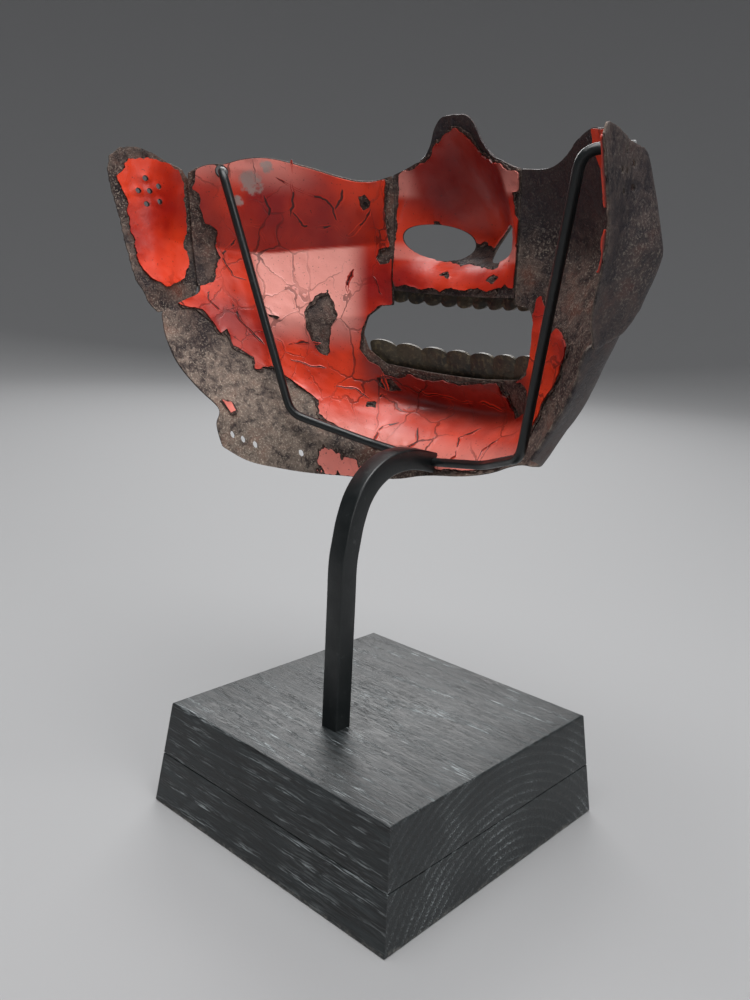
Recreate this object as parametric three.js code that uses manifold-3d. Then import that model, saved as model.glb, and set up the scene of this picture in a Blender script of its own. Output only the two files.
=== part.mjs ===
// Samurai half-face guard (menpo) on its display stand.
// Millimetres, +Z up. Origin: centre of the base's underside. The mask looks towards -Y and +X is the
// wearer's left. A place on the iron sheet is given by its angle round the face, in degrees from the
// centre line (plus towards the wearer's left), and its girth, in millimetres up the sheet from the bend
// where the chin turns down into the throat flange. The sheet's inner face is the reference surface.
import * as THREE from 'three';
import { mergeVertices } from 'three/addons/utils/BufferGeometryUtils.js';
import Module from 'manifold-3d';

const wasm = await Module();
wasm.setup();

// Driving dimensions
const sheetThickness = 1.8;
const clearance = 0.3;
const seamAngle = 16.3; // half the nose plate's width
const earSeamAngle = 65.3; // where the ear plates meet the cheeks
const lipGirth = 73.5; // lower edge of the nose plate
const hookHole = { angle: 57, girth: 111, radius: 2.3 };
const lacingHoleRadius = 1.05;
const flangeHoleRadius = 1.3;
const teeth = { thickness: 1.5, count: 7, rise: 1.8, gap: 0.9 };
const wire = { radius: 1.5, sides: 8, steps: 104, bend: 3.5 };
const arm = { side: 7, footX: 1.5, footY: 20.4, socketDepth: 14, steps: 30 };
const base = { topSide: 102, bottomSide: 110.6, height: 37.8, glueLineZ: 18.6 };

// Sections of the face, from the lower edge up. frontZ and frontY lie on the centre line, rearZ and rearY
// at the ears, halfWidth is the widest half.
const sections = [
  { girth: -18, frontZ: 102, frontY: -19, halfWidth: 63, rearY: 34, rearZ: 127 },
  { girth: 0, frontZ: 120, frontY: -20, halfWidth: 66.5, rearY: 37, rearZ: 144 },
  { girth: 14, frontZ: 130, frontY: -25, halfWidth: 73, rearY: 41, rearZ: 155 },
  { girth: 28, frontZ: 139, frontY: -28.5, halfWidth: 79, rearY: 44, rearZ: 165 },
  { girth: 45, frontZ: 152, frontY: -28.5, halfWidth: 84, rearY: 47, rearZ: 177 },
  { girth: 62, frontZ: 169, frontY: -27, halfWidth: 89, rearY: 50, rearZ: 188 },
  { girth: 80, frontZ: 186, frontY: -25.5, halfWidth: 92, rearY: 51, rearZ: 197.5 },
  { girth: 100, frontZ: 206, frontY: -24.5, halfWidth: 93, rearY: 52, rearZ: 211 },
  { girth: 110, frontZ: 216, frontY: -23.5, halfWidth: 93, rearY: 53, rearZ: 218.5 },
  { girth: 120, frontZ: 226, frontY: -21, halfWidth: 93, rearY: 54, rearZ: 227 },
  { girth: 134, frontZ: 240, frontY: -17, halfWidth: 93, rearY: 55, rearZ: 240 },
];

// The nose: how far it stands forward and its half width at each height.
const noseSections = [
  { z: 178, depth: 0, halfWidth: 25 },
  { z: 184, depth: 1, halfWidth: 25 },
  { z: 188, depth: 4.5, halfWidth: 25 },
  { z: 191, depth: 9, halfWidth: 25 },
  { z: 194, depth: 14, halfWidth: 25 },
  { z: 199, depth: 18, halfWidth: 25 },
  { z: 206, depth: 17.5, halfWidth: 23 },
  { z: 214, depth: 12.5, halfWidth: 20 },
  { z: 220, depth: 7.5, halfWidth: 17 },
  { z: 225, depth: 4, halfWidth: 12.5 },
  { z: 230, depth: 1.2, halfWidth: 9 },
  { z: 236, depth: 0, halfWidth: 7 },
];

// Girth of the upper edge of cheeks and nose, alike on both sides but for the steeper right cheek.
const upperEdge = [
  { angle: 0, left: 129.5, right: 129.5 },
  { angle: 4, left: 127.8, right: 127.8 },
  { angle: 5, left: 125.8, right: 125.8 },
  { angle: 6.2, left: 121.5, right: 121.5 },
  { angle: 7.5, left: 118.5, right: 118.5 },
  { angle: 11, left: 115.5, right: 115.5 },
  { angle: 15, left: 113, right: 113 },
  { angle: 19, left: 111.2, right: 112 },
  { angle: 24, left: 110.4, right: 111.9 },
  { angle: 29, left: 111.6, right: 114.4 },
  { angle: 34, left: 113.6, right: 117.8 },
  { angle: 39, left: 115.3, right: 119.6 },
  { angle: 43, left: 116.6, right: 118.8 },
  { angle: 47, left: 117, right: 117.8 },
  { angle: 52, left: 115.9, right: 115 },
  { angle: 56, left: 114, right: 112.6 },
  { angle: 61, left: 112.8, right: 110.4 },
  { angle: 65.5, left: 109, right: 108 },
];

// Girth of the lower edge: on the left the throat flange still hangs, on the right it has broken away.
const lowerEdge = [
  { angle: -74, girth: 4 },
  { angle: -60, girth: 6 },
  { angle: -45, girth: 8 },
  { angle: -31.5, girth: 8.8 },
  { angle: -21, girth: 4.2 },
  { angle: -9, girth: 0.8 },
  { angle: 0, girth: -1 },
  { angle: 5, girth: -2.5 },
  { angle: 11, girth: -5 },
  { angle: 22, girth: -8 },
  { angle: 33, girth: -10.5 },
  { angle: 45, girth: -13.5 },
  { angle: 55, girth: -15.5 },
  { angle: 68, girth: -17.2 },
  { angle: 77, girth: -15.5 },
];

// Angle of the rear edge of flange, jaw and cheek.
const rearEdge = [
  { girth: -18, left: 76, right: 74 },
  { girth: -8, left: 77.3, right: 74 },
  { girth: 0, left: 75, right: 74 },
  { girth: 4, left: 78.5, right: 74 },
  { girth: 12, left: 82, right: 73.5 },
  { girth: 25, left: 82.3, right: 73.5 },
  { girth: 34, left: 81.3, right: 73.6 },
  { girth: 41.5, left: 79.5, right: 74.4 },
  { girth: 46, left: 76, right: 74 },
  { girth: 50, left: 72.5, right: 71.2 },
  { girth: 57, left: 66.2, right: 66.2 },
  { girth: 64, left: earSeamAngle, right: earSeamAngle },
  { girth: 109, left: earSeamAngle, right: earSeamAngle },
  { girth: 140, left: earSeamAngle, right: earSeamAngle },
];

// The cheekbone crease: its girth, and the girth of the level that the cheek dish falls away to below it.
const cheekbone = [
  { angle: 14, girth: 90 },
  { angle: 26, girth: 88.5 },
  { angle: 39, girth: 85 },
  { angle: 46, girth: 82.5 },
  { angle: 56, girth: 81 },
  { angle: 66, girth: 81 },
];

// Corners of the mouth opening, anticlockwise seen from inside; the nose plate closes it on top.
const mouthCorners = [
  { angle: 14, girth: 68.6 },
  { angle: 19.5, girth: 67.2 },
  { angle: 22.8, girth: 62.8 },
  { angle: 24.7, girth: 56 },
  { angle: 23.8, girth: 50.5 },
  { angle: 19.5, girth: 46 },
  { angle: 8, girth: 45.5 },
  { angle: -8, girth: 45.5 },
  { angle: -20, girth: 46.5 },
  { angle: -23.4, girth: 51 },
  { angle: -23.4, girth: 58 },
  { angle: -22.8, girth: 65 },
  { angle: -20.5, girth: 70 },
  { angle: -14, girth: 72 },
];

// Outlines of the two ear plates and of the dish pressed into each. The right plate has lost its crown.
const leftEarOutline = [
  { angle: 65.7, girth: 84 },
  { angle: 65.7, girth: 104 },
  { angle: 68, girth: 110.5 },
  { angle: 71.5, girth: 113.5 },
  { angle: 75, girth: 115.8 },
  { angle: 78.5, girth: 116.5 },
  { angle: 82, girth: 115.5 },
  { angle: 85, girth: 112 },
  { angle: 86, girth: 106 },
  { angle: 85.6, girth: 98 },
  { angle: 83.9, girth: 85 },
  { angle: 83.3, girth: 66 },
  { angle: 84.2, girth: 52.5 },
  { angle: 82.6, girth: 44.2 },
  { angle: 80.4, girth: 41.6 },
  { angle: 78.6, girth: 43.6 },
  { angle: 74.4, girth: 49.4 },
  { angle: 68.5, girth: 57 },
  { angle: 66, girth: 65 },
];
const rightEarOutline = [
  { angle: 65.7, girth: 84 },
  { angle: 65.7, girth: 103 },
  { angle: 67.5, girth: 106.8 },
  { angle: 72, girth: 107.8 },
  { angle: 77, girth: 108.4 },
  { angle: 82, girth: 109.2 },
  { angle: 85.6, girth: 109 },
  { angle: 86.8, girth: 106 },
  { angle: 85.6, girth: 99 },
  { angle: 83.9, girth: 92 },
  { angle: 81.4, girth: 82 },
  { angle: 79.8, girth: 72 },
  { angle: 78.6, girth: 62 },
  { angle: 76.6, girth: 52 },
  { angle: 75.2, girth: 47.2 },
  { angle: 73.8, girth: 50 },
  { angle: 68.5, girth: 57 },
  { angle: 66, girth: 65 },
];
const dish = { front: 66.6, rear: 80.6, bottom: 57, top: 110, corner: 9, depth: 3, slope: 0.86 };
const lacingHoles = [
  { angle: 76.5, girth: 105 },
  { angle: 73, girth: 102.5 },
  { angle: 78.7, girth: 99.4 },
  { angle: 75.7, girth: 100 },
  { angle: 76.7, girth: 94.3 },
  { angle: 73, girth: 96.3 },
];
const flangeHoles = [
  { angle: 71.6, girth: -9.5 },
  { angle: 67.7, girth: -9.7 },
  { angle: 63.3, girth: -10 },
  { angle: 46.6, girth: -7 },
];
const nostril = { x: 13.6, z: 197.4, halfLength: 9.4, halfHeight: 5.6, tilt: 12 };

// The route of the cradle wire's left half, from under the chin up to the hook.
const wireRoute = [
  { x: 0, y: -18.7, z: 124 },
  { x: 26, y: -13.4, z: 127.8 },
  { x: 49.6, y: 1.2, z: 135.6 },
  { x: 70.3, y: 17.2, z: 217.3 },
  { x: 80.6, y: 9.4, z: 218.3 },
];
// The route of the arm's centre line above the base, in the plane of the foot.
const armRoute = [
  { y: 20.4, z: 94 },
  { y: 19.2, z: 102 },
  { y: 17.6, z: 109 },
  { y: 14.6, z: 116 },
  { y: 9.5, z: 121.6 },
  { y: 2.5, z: 125.2 },
  { y: -6, z: 126.2 },
  { y: -13, z: 125.4 },
  { y: -19.4, z: 123.9 },
];

// A table's value at x: a cubic through its rows whose slope at each row is that of its neighbours.
function tableAt(rows, key, column, x) {
  const last = rows.length - 1;
  const at = THREE.MathUtils.clamp(x, rows[0][key], rows[last][key]);
  let i = 0;
  while (i < last - 1 && at > rows[i + 1][key]) i += 1;
  const slope = (k) => {
    if (k === 0 || k === last) {
      const j = k === 0 ? 0 : last - 1;
      return (rows[j + 1][column] - rows[j][column]) / (rows[j + 1][key] - rows[j][key]);
    }
    const before = rows[k][key] - rows[k - 1][key];
    const after = rows[k + 1][key] - rows[k][key];
    const rise = (rows[k][column] - rows[k - 1][column]) / before;
    const nextRise = (rows[k + 1][column] - rows[k][column]) / after;
    return (rise * after + nextRise * before) / (before + after);
  };
  const span = rows[i + 1][key] - rows[i][key];
  const t = (at - rows[i][key]) / span;
  const t2 = t * t;
  const t3 = t2 * t;
  return (2 * t3 - 3 * t2 + 1) * rows[i][column] + (t3 - 2 * t2 + t) * span * slope(i)
    + (3 * t2 - 2 * t3) * rows[i + 1][column] + (t3 - t2) * span * slope(i + 1);
}

const side = (angle) => (angle < 0 ? 'right' : 'left');
const upperGirth = (angle) => tableAt(upperEdge, 'angle', side(angle), Math.abs(angle));
const lowerGirth = (angle) => tableAt(lowerEdge, 'angle', 'girth', angle);
const boneGirth = (angle) => tableAt(cheekbone, 'angle', 'girth', Math.abs(angle));

// How far the cheek stands out of the plain sections. It is sharp along the cheekbone, and below it falls
// away faster inside the round of the cheek than behind it.
function cheekRise(angle, girth) {
  const a = Math.abs(angle);
  const height = 7;
  const above = girth - boneGirth(a);
  const fall = THREE.MathUtils.lerp(27, 58, THREE.MathUtils.smoothstep(a, 49, 54));
  const profile = above > 0 ? 1 - above / 31 : 1 + above / fall;
  const across = THREE.MathUtils.smoothstep(a, 13, 30) * (1 - THREE.MathUtils.smoothstep(a, 64, 77));
  return height * Math.max(0, profile) * across;
}

function chinRise(angle, girth) {
  const level = (girth - 29) / 11;
  return 10 * Math.exp(-level * level) * (1 - THREE.MathUtils.smoothstep(Math.abs(angle), 10, 32));
}

function noseRise(x, z) {
  const halfWidth = tableAt(noseSections, 'z', 'halfWidth', z);
  const inside = Math.max(0, 1 - (x / halfWidth) ** 2);
  return tableAt(noseSections, 'z', 'depth', z) * inside ** 1.2;
}

// The sheet's inner face.
function facePoint(angle, girth) {
  const radians = THREE.MathUtils.degToRad(angle);
  const turn = 1 - Math.cos(radians);
  const at = (column) => tableAt(sections, 'girth', column, girth);
  const frontY = at('frontY');
  const frontZ = at('frontZ');
  const x = at('halfWidth') * Math.sin(radians);
  const y = frontY + (at('rearY') - frontY) * turn;
  const z = frontZ + (at('rearZ') - frontZ) * turn;
  const cheek = cheekRise(angle, girth);
  const forward = noseRise(x, z) + chinRise(angle, girth);
  return new THREE.Vector3(
    x + cheek * Math.sin(radians),
    y - cheek * Math.cos(radians) - forward,
    z,
  );
}

// The outward normal of the sheet.
function faceNormal(angle, girth) {
  const step = 0.4;
  const across = facePoint(angle + step, girth).sub(facePoint(angle - step, girth));
  const up = facePoint(angle, girth + step).sub(facePoint(angle, girth - step));
  return across.cross(up).normalize();
}

const onFace = (angle, girth, offset) => (
  facePoint(angle, girth).addScaledVector(faceNormal(angle, girth), offset)
);

function indexedGeometry(positions, indices) {
  const geometry = new THREE.BufferGeometry();
  geometry.setAttribute('position', new THREE.Float32BufferAttribute(positions, 3));
  geometry.setIndex(indices);
  return geometry;
}

// A wall between two offsets of the face over a grid of places: rows of places, all of one length. A closed
// grid joins each row's end to its start, and its first row is a single place repeated.
function wallGeometry(rows, innerOffset, outerOffset, closed = false) {
  const rowLength = rows[0].length;
  const layerSize = rows.length * rowLength;
  const positions = [];
  for (const offset of [innerOffset, outerOffset]) {
    for (const row of rows) {
      for (const place of row) {
        const rise = place.rise ?? 0;
        onFace(place.angle, place.girth, offset + rise).toArray(positions, positions.length);
      }
    }
  }
  const indices = [];
  const quad = (a, b, c, d) => indices.push(a, b, c, a, c, d);
  const spans = closed ? rowLength : rowLength - 1;
  const at = (layer, row, column) => layer * layerSize + row * rowLength + (column % rowLength);
  for (let r = 0; r < rows.length - 1; r += 1) {
    for (let c = 0; c < spans; c += 1) {
      quad(at(0, r, c), at(0, r, c + 1), at(0, r + 1, c + 1), at(0, r + 1, c));
      quad(at(1, r, c), at(1, r + 1, c), at(1, r + 1, c + 1), at(1, r, c + 1));
    }
  }
  const top = rows.length - 1;
  for (let c = 0; c < spans; c += 1) {
    quad(at(0, top, c), at(0, top, c + 1), at(1, top, c + 1), at(1, top, c));
    if (!closed) quad(at(0, 0, c + 1), at(0, 0, c), at(1, 0, c), at(1, 0, c + 1));
  }
  if (!closed) {
    for (let r = 0; r < top; r += 1) {
      quad(at(0, r, 0), at(0, r + 1, 0), at(1, r + 1, 0), at(1, r, 0));
      quad(at(0, r + 1, spans), at(0, r, spans), at(1, r, spans), at(1, r + 1, spans));
    }
  }
  return mended(indexedGeometry(positions, indices));
}

// Merges shared corners, drops faces without area and turns the faces outwards.
function mended(geometry) {
  geometry.deleteAttribute('normal');
  geometry.deleteAttribute('uv');
  const merged = mergeVertices(geometry, 1e-4);
  const position = merged.getAttribute('position');
  const corner = (k) => new THREE.Vector3().fromBufferAttribute(position, k);
  const indices = [];
  let volume = 0;
  for (let i = 0; i < merged.index.count; i += 3) {
    const [a, b, c] = [0, 1, 2].map((k) => merged.index.getX(i + k));
    if (a !== b && b !== c && c !== a) {
      indices.push(a, b, c);
      volume += corner(a).dot(corner(b).cross(corner(c)));
    }
  }
  if (volume < 0) indices.reverse();
  merged.setIndex(indices);
  return merged;
}

function solidOf(geometry) {
  const ready = mended(geometry);
  return new wasm.Manifold(new wasm.Mesh({
    numProp: 3,
    vertProperties: new Float32Array(ready.getAttribute('position').array),
    triVerts: new Uint32Array(ready.index.array),
  }));
}

function geometryOf(solid) {
  const mesh = solid.getMesh();
  return indexedGeometry(Array.from(mesh.vertProperties), Array.from(mesh.triVerts));
}

const cut = (geometry, cutters) => (
  geometryOf(cutters.reduce((solid, cutter) => solid.subtract(solidOf(cutter)), solidOf(geometry)))
);

// A round punch standing square on the sheet.
function punch(place, radius) {
  const punchGeometry = new THREE.CylinderGeometry(radius, radius, 16, 8);
  const normal = faceNormal(place.angle, place.girth);
  punchGeometry.applyQuaternion(new THREE.Quaternion().setFromUnitVectors(THREE.Object3D.DEFAULT_UP, normal));
  const centre = facePoint(place.angle, place.girth);
  return punchGeometry.translate(centre.x, centre.y, centre.z);
}

// A shape drawn in X and Z, run through the sheet from front to back.
function frontCutter(shape, frontY, backY) {
  const geometry = new THREE.ExtrudeGeometry(shape, {
    depth: backY - frontY, bevelEnabled: false, curveSegments: 8,
  });
  return geometry.rotateX(Math.PI / 2).translate(0, backY, 0);
}

function mouthCutter() {
  const corners = mouthCorners.map(({ angle, girth }) => {
    const p = facePoint(angle, girth);
    return new THREE.Vector2(p.x, p.z);
  });
  return frontCutter(new THREE.Shape(corners), -50, 0);
}

function nostrilCutter(sign) {
  const shape = new THREE.Shape();
  const tilt = THREE.MathUtils.degToRad(nostril.tilt);
  shape.absellipse(0, 0, nostril.halfLength, nostril.halfHeight, 0, 2 * Math.PI, false, sign * tilt);
  return frontCutter(shape, -70, -10).translate(sign * nostril.x, 0, nostril.z);
}

// The seam cutter clears the whole height above the mouth between the two seams.
function seamCutter() {
  const rows = [];
  for (const girth of [60, 70, 80, 90, 100, 110, 120, 130]) {
    const row = [];
    for (let k = 0; k <= 12; k += 1) row.push({ angle: seamAngle * (k / 6 - 1), girth });
    rows.push(row);
  }
  return wallGeometry(rows, -4, 6);
}

function faceShell() {
  const columns = 60;
  const bendToBone = [0.08, 0.19, 0.31, 0.43, 0.55, 0.67, 0.78, 0.89, 1];
  const boneToTop = [0.3, 0.65, 1];
  const lines = [
    (a) => lowerGirth(a),
    (a) => (lowerGirth(a) + bendGirth(a)) / 2,
    (a) => bendGirth(a),
    ...bendToBone.map((f) => (a) => bendGirth(a) + (boneGirth(a) - bendGirth(a)) * f),
    ...boneToTop.map((f) => (a) => boneGirth(a) + (upperGirth(a) - boneGirth(a)) * f),
  ];
  const rows = lines.map((line) => {
    const row = [];
    for (let c = 0; c <= columns; c += 1) row.push(placeOnLine(line, (2 * c) / columns - 1));
    return row;
  });
  const cutters = [
    mouthCutter(),
    seamCutter(),
    ...[1, -1].map((sign) => punch({ ...hookHole, angle: sign * hookHole.angle }, hookHole.radius)),
    ...flangeHoles.map((hole) => punch(hole, flangeHoleRadius)),
  ];
  return cut(wallGeometry(rows, 0, sheetThickness), cutters);
}

// The bend above the throat flange; where the flange is gone, a line just inside the broken edge.
const bendGirth = (angle) => Math.max(0, lowerGirth(angle) + 3);

// The place at a share of the way from the centre line to the rear edge, on a line of girth over angle.
function placeOnLine(line, share) {
  const column = share < 0 ? 'right' : 'left';
  let angle = share * earSeamAngle;
  let girth = line(angle);
  for (let pass = 0; pass < 12; pass += 1) {
    angle = share * tableAt(rearEdge, 'girth', column, girth);
    girth = line(angle);
  }
  return { angle, girth };
}

function nosePlate() {
  const columns = 20;
  const levels = [0, 0.09, 0.18, 0.26, 0.32, 0.38, 0.44, 0.52, 0.61, 0.7, 0.8, 0.9, 1];
  const edge = seamAngle - 0.2;
  const rows = levels.map((level) => {
    const row = [];
    for (let c = 0; c <= columns; c += 1) {
      const angle = edge * ((2 * c) / columns - 1);
      row.push({ angle, girth: lipGirth + (upperGirth(angle) - lipGirth) * level });
    }
    return row;
  });
  return cut(wallGeometry(rows, 0, sheetThickness), [nostrilCutter(1), nostrilCutter(-1)]);
}

// A strip behind the sheet with one edge cut into rounded teeth.
function teethStrip(fromAngle, toAngle, rootGirth, tipGirth) {
  const perTooth = 4;
  const columns = teeth.count * perTooth;
  const direction = Math.sign(tipGirth - rootGirth);
  const rows = [0, 0.5, 1].map((level) => {
    const row = [];
    for (let c = 0; c <= columns; c += 1) {
      const round = Math.sin((Math.PI * (c % perTooth)) / perTooth);
      const tip = tipGirth + direction * teeth.rise * (Math.sqrt(round) - 1);
      const angle = fromAngle + ((toAngle - fromAngle) * c) / columns;
      row.push({ angle, girth: rootGirth + (tip - rootGirth) * level });
    }
    return row;
  });
  const inner = sheetThickness + teeth.gap;
  return wallGeometry(rows, inner, inner + teeth.thickness);
}

const lowerTeeth = () => teethStrip(-23, 24, 41, 54.4);
const upperTeeth = () => teethStrip(-19.6, 17.6, 77, 69);

// Evenly spread places round a smooth closed outline.
function ringOf(outline, count) {
  const curve = new THREE.CatmullRomCurve3(
    outline.map(({ angle, girth }) => new THREE.Vector3(angle * 1.5, girth, 0)),
    true,
  );
  return curve.getSpacedPoints(count).slice(0, count).map((p) => ({ angle: p.x / 1.5, girth: p.y }));
}

// 0 on the plate's border, 1 on the floor of its dish.
function dishShare(angle, girth) {
  const centre = { angle: (dish.front + dish.rear) / 2, girth: (dish.bottom + dish.top) / 2 };
  const dx = Math.abs(angle - centre.angle) * 1.5 - ((dish.rear - dish.front) * 0.75 - dish.corner);
  const dy = Math.abs(girth - centre.girth) - ((dish.top - dish.bottom) / 2 - dish.corner);
  const outside = Math.hypot(Math.max(dx, 0), Math.max(dy, 0)) + Math.min(Math.max(dx, dy), 0) - dish.corner;
  return THREE.MathUtils.smoothstep(-outside, 0, 3);
}

function earPlate(outline, sign) {
  const count = 44;
  const ring = ringOf(outline, count);
  const middle = { angle: 74.5, girth: 82 };
  const shares = [0, 0.35, 0.62, 0.76, 0.84, 0.92, 1];
  const rows = shares.map((share) => ring.map(({ angle, girth }) => {
    const a = THREE.MathUtils.lerp(middle.angle, angle, share);
    const g = THREE.MathUtils.lerp(middle.girth, girth, share);
    return { angle: sign * a, girth: g, rise: dish.depth * dishShare(a, g) };
  }));
  const plate = wallGeometry(rows, 0, sheetThickness, true);
  return cut(plate, lacingHoles.map((hole) => (
    punch({ angle: sign * hole.angle, girth: hole.girth }, lacingHoleRadius)
  )));
}

// Points along a route with each inner corner rounded by two points and its middle.
function rounded(points, radius) {
  const out = [points[0]];
  for (let i = 1; i < points.length - 1; i += 1) {
    const before = points[i].clone().add(points[i - 1].clone().sub(points[i]).setLength(radius));
    const after = points[i].clone().add(points[i + 1].clone().sub(points[i]).setLength(radius));
    const middle = points[i].clone().multiplyScalar(2).add(before).add(after).divideScalar(4);
    out.push(before, middle, after);
  }
  out.push(points[points.length - 1]);
  return out;
}

function cradleWire() {
  const half = wireRoute.map(({ x, y, z }) => new THREE.Vector3(x, y, z));
  const mirrored = half.slice(1).reverse().map((p) => new THREE.Vector3(-p.x, p.y, p.z));
  const route = new THREE.CatmullRomCurve3(rounded([...mirrored, ...half], wire.bend), false, 'centripetal');
  const section = new THREE.Shape();
  section.absarc(0, 0, wire.radius, 0, 2 * Math.PI);
  return new THREE.ExtrudeGeometry(section, {
    extrudePath: route, steps: wire.steps, curveSegments: wire.sides / 2, bevelEnabled: false,
  });
}

function squareBar() {
  const foot = base.height - arm.socketDepth + clearance;
  const points = [foot, 60, 80].map((z) => new THREE.Vector3(arm.footX, arm.footY, z));
  for (const { y, z } of armRoute) points.push(new THREE.Vector3(arm.footX, y, z));
  const half = arm.side / 2;
  const section = new THREE.Shape([
    new THREE.Vector2(-half, -half),
    new THREE.Vector2(half, -half),
    new THREE.Vector2(half, half),
    new THREE.Vector2(-half, half),
  ]);
  return new THREE.ExtrudeGeometry(section, {
    extrudePath: new THREE.CatmullRomCurve3(points, false, 'centripetal'),
    steps: arm.steps,
    bevelEnabled: false,
  });
}

// Arm and cradle wire are welded, so they are one solid.
const standBracket = () => geometryOf(solidOf(squareBar()).add(solidOf(cradleWire())));

const sideAt = (z) => THREE.MathUtils.lerp(base.bottomSide, base.topSide, z / base.height);

function board(fromZ, toZ) {
  const geometry = new THREE.CylinderGeometry(
    sideAt(toZ) / Math.SQRT2,
    sideAt(fromZ) / Math.SQRT2,
    toZ - fromZ,
    4,
  );
  return geometry.rotateX(Math.PI / 2).rotateZ(Math.PI / 4).translate(0, 0, (fromZ + toZ) / 2);
}

function upperBoard() {
  const socketSide = arm.side + 2 * clearance;
  const socket = new THREE.BoxGeometry(socketSide, socketSide, 2 * arm.socketDepth);
  socket.translate(arm.footX, arm.footY, base.height);
  return cut(board(base.glueLineZ + clearance / 2, base.height), [socket]);
}

const lowerBoard = () => mended(board(0, base.glueLineZ - clearance / 2));

const russetIron = { color: 0x4a3c36, roughness: 0.8, metalness: 0.35 };
const redLacqueredIron = { color: 0xb3261a, roughness: 0.35, metalness: 0.05 };
const teethLacquer = { color: 0x4b4436, roughness: 0.6, metalness: 0.1 };
const blackSteel = { color: 0x14171a, roughness: 0.35, metalness: 0.4 };
const blackAsh = { color: 0x2a2d2f, roughness: 0.5, metalness: 0 };

const part = new THREE.Group();
function addPiece(name, geometry, finish) {
  geometry.computeVertexNormals();
  const mesh = new THREE.Mesh(geometry, new THREE.MeshStandardMaterial(finish));
  mesh.name = name;
  part.add(mesh);
}

addPiece('face_shell', faceShell(), redLacqueredIron);
addPiece('nose_plate', nosePlate(), redLacqueredIron);
addPiece('upper_teeth', upperTeeth(), teethLacquer);
addPiece('lower_teeth', lowerTeeth(), teethLacquer);
addPiece('left_ear_plate', earPlate(leftEarOutline, 1), russetIron);
addPiece('right_ear_plate', earPlate(rightEarOutline, -1), russetIron);
addPiece('stand_bracket', standBracket(), blackSteel);
addPiece('base_upper_board', upperBoard(), blackAsh);
addPiece('base_lower_board', lowerBoard(), blackAsh);

export default part;
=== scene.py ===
# Samurai face guard seen from its red-lacquered inside, on its black museum stand.
import math
import bpy
import numpy as np
from mathutils import Euler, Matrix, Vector


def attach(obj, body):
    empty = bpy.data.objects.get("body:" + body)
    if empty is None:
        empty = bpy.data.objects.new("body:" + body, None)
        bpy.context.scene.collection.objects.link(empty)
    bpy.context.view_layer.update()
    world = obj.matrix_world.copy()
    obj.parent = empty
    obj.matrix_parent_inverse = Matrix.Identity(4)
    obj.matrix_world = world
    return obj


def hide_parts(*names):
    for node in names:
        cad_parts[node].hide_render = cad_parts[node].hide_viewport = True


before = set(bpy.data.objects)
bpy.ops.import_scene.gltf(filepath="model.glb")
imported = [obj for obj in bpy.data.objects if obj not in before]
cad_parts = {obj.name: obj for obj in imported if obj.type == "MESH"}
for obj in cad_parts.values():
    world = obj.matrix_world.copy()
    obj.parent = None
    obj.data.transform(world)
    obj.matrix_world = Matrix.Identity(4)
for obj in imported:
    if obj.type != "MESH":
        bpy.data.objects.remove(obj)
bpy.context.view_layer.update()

mm = 0.001
print("frame loaded")


# A place on the sheet is an angle round the face, in degrees from the centre line, plus towards the
# wearer's left, and a girth, in millimetres up the sheet from the bend under the chin.

faceForm = {
    # girth, frontZ, frontY, halfWidth, rearY, rearZ
    "sections": [
        (-18, 102, -19, 63, 34, 127), (0, 120, -20, 66.5, 37, 144), (14, 130, -25, 73, 41, 155),
        (28, 139, -28.5, 79, 44, 165), (45, 152, -28.5, 84, 47, 177), (62, 169, -27, 89, 50, 188),
        (80, 186, -25.5, 92, 51, 197.5), (100, 206, -24.5, 93, 52, 211),
        (110, 216, -23.5, 93, 53, 218.5), (120, 226, -21, 93, 54, 227), (134, 240, -17, 93, 55, 240),
    ],
    # height, how far the nose stands forward there, half width
    "nose": [
        (178, 0, 25), (184, 1, 25), (188, 4.5, 25), (191, 9, 25), (194, 14, 25), (199, 18, 25),
        (206, 17.5, 23), (214, 12.5, 20), (220, 7.5, 17), (225, 4, 12.5), (230, 1.2, 9), (236, 0, 7),
    ],
    # angle, girth of the cheekbone crease
    "cheekbone": [(14, 90), (26, 88.5), (39, 85), (46, 82.5), (56, 81), (66, 81)],
    "ridge": {"height": 7, "above": 31, "below": 27, "rearBelow": 58},
    "chin": {"height": 10, "girth": 29, "spread": 11},
}

faceEdges = {
    # angle, girth on the left, girth on the right
    "upper": [
        (0, 129.5, 129.5), (4, 127.8, 127.8), (5, 125.8, 125.8), (6.2, 121.5, 121.5),
        (7.5, 118.5, 118.5), (11, 115.5, 115.5), (15, 113, 113), (19, 111.2, 112), (24, 110.4, 111.9),
        (29, 111.6, 114.4), (34, 113.6, 117.8), (39, 115.3, 119.6), (43, 116.6, 118.8),
        (47, 117, 117.8), (52, 115.9, 115), (56, 114, 112.6), (61, 112.8, 110.4), (65.5, 109, 108),
    ],
    # angle, girth
    "lower": [
        (-74, 4), (-60, 6), (-45, 8), (-31.5, 8.8), (-21, 4.2), (-9, 0.8), (0, -1), (5, -2.5),
        (11, -5), (22, -8), (33, -10.5), (45, -13.5), (55, -15.5), (68, -17.2), (77, -15.5),
    ],
    # girth, angle on the left, angle on the right
    "rear": [
        (-18, 76, 74), (-8, 77.3, 74), (0, 75, 74), (4, 78.5, 74), (12, 82, 73.5), (25, 82.3, 73.5),
        (34, 81.3, 73.6), (41.5, 79.5, 74.4), (46, 76, 74), (50, 72.5, 71.2), (57, 66.2, 66.2),
        (64, 65.3, 65.3), (109, 65.3, 65.3), (140, 65.3, 65.3),
    ],
    "seamAngle": 16.3,
    "lipGirth": 73.5,
    "degreeWidth": 1.48,  # millimetres to a degree at the middle of the cheek
}

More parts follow.
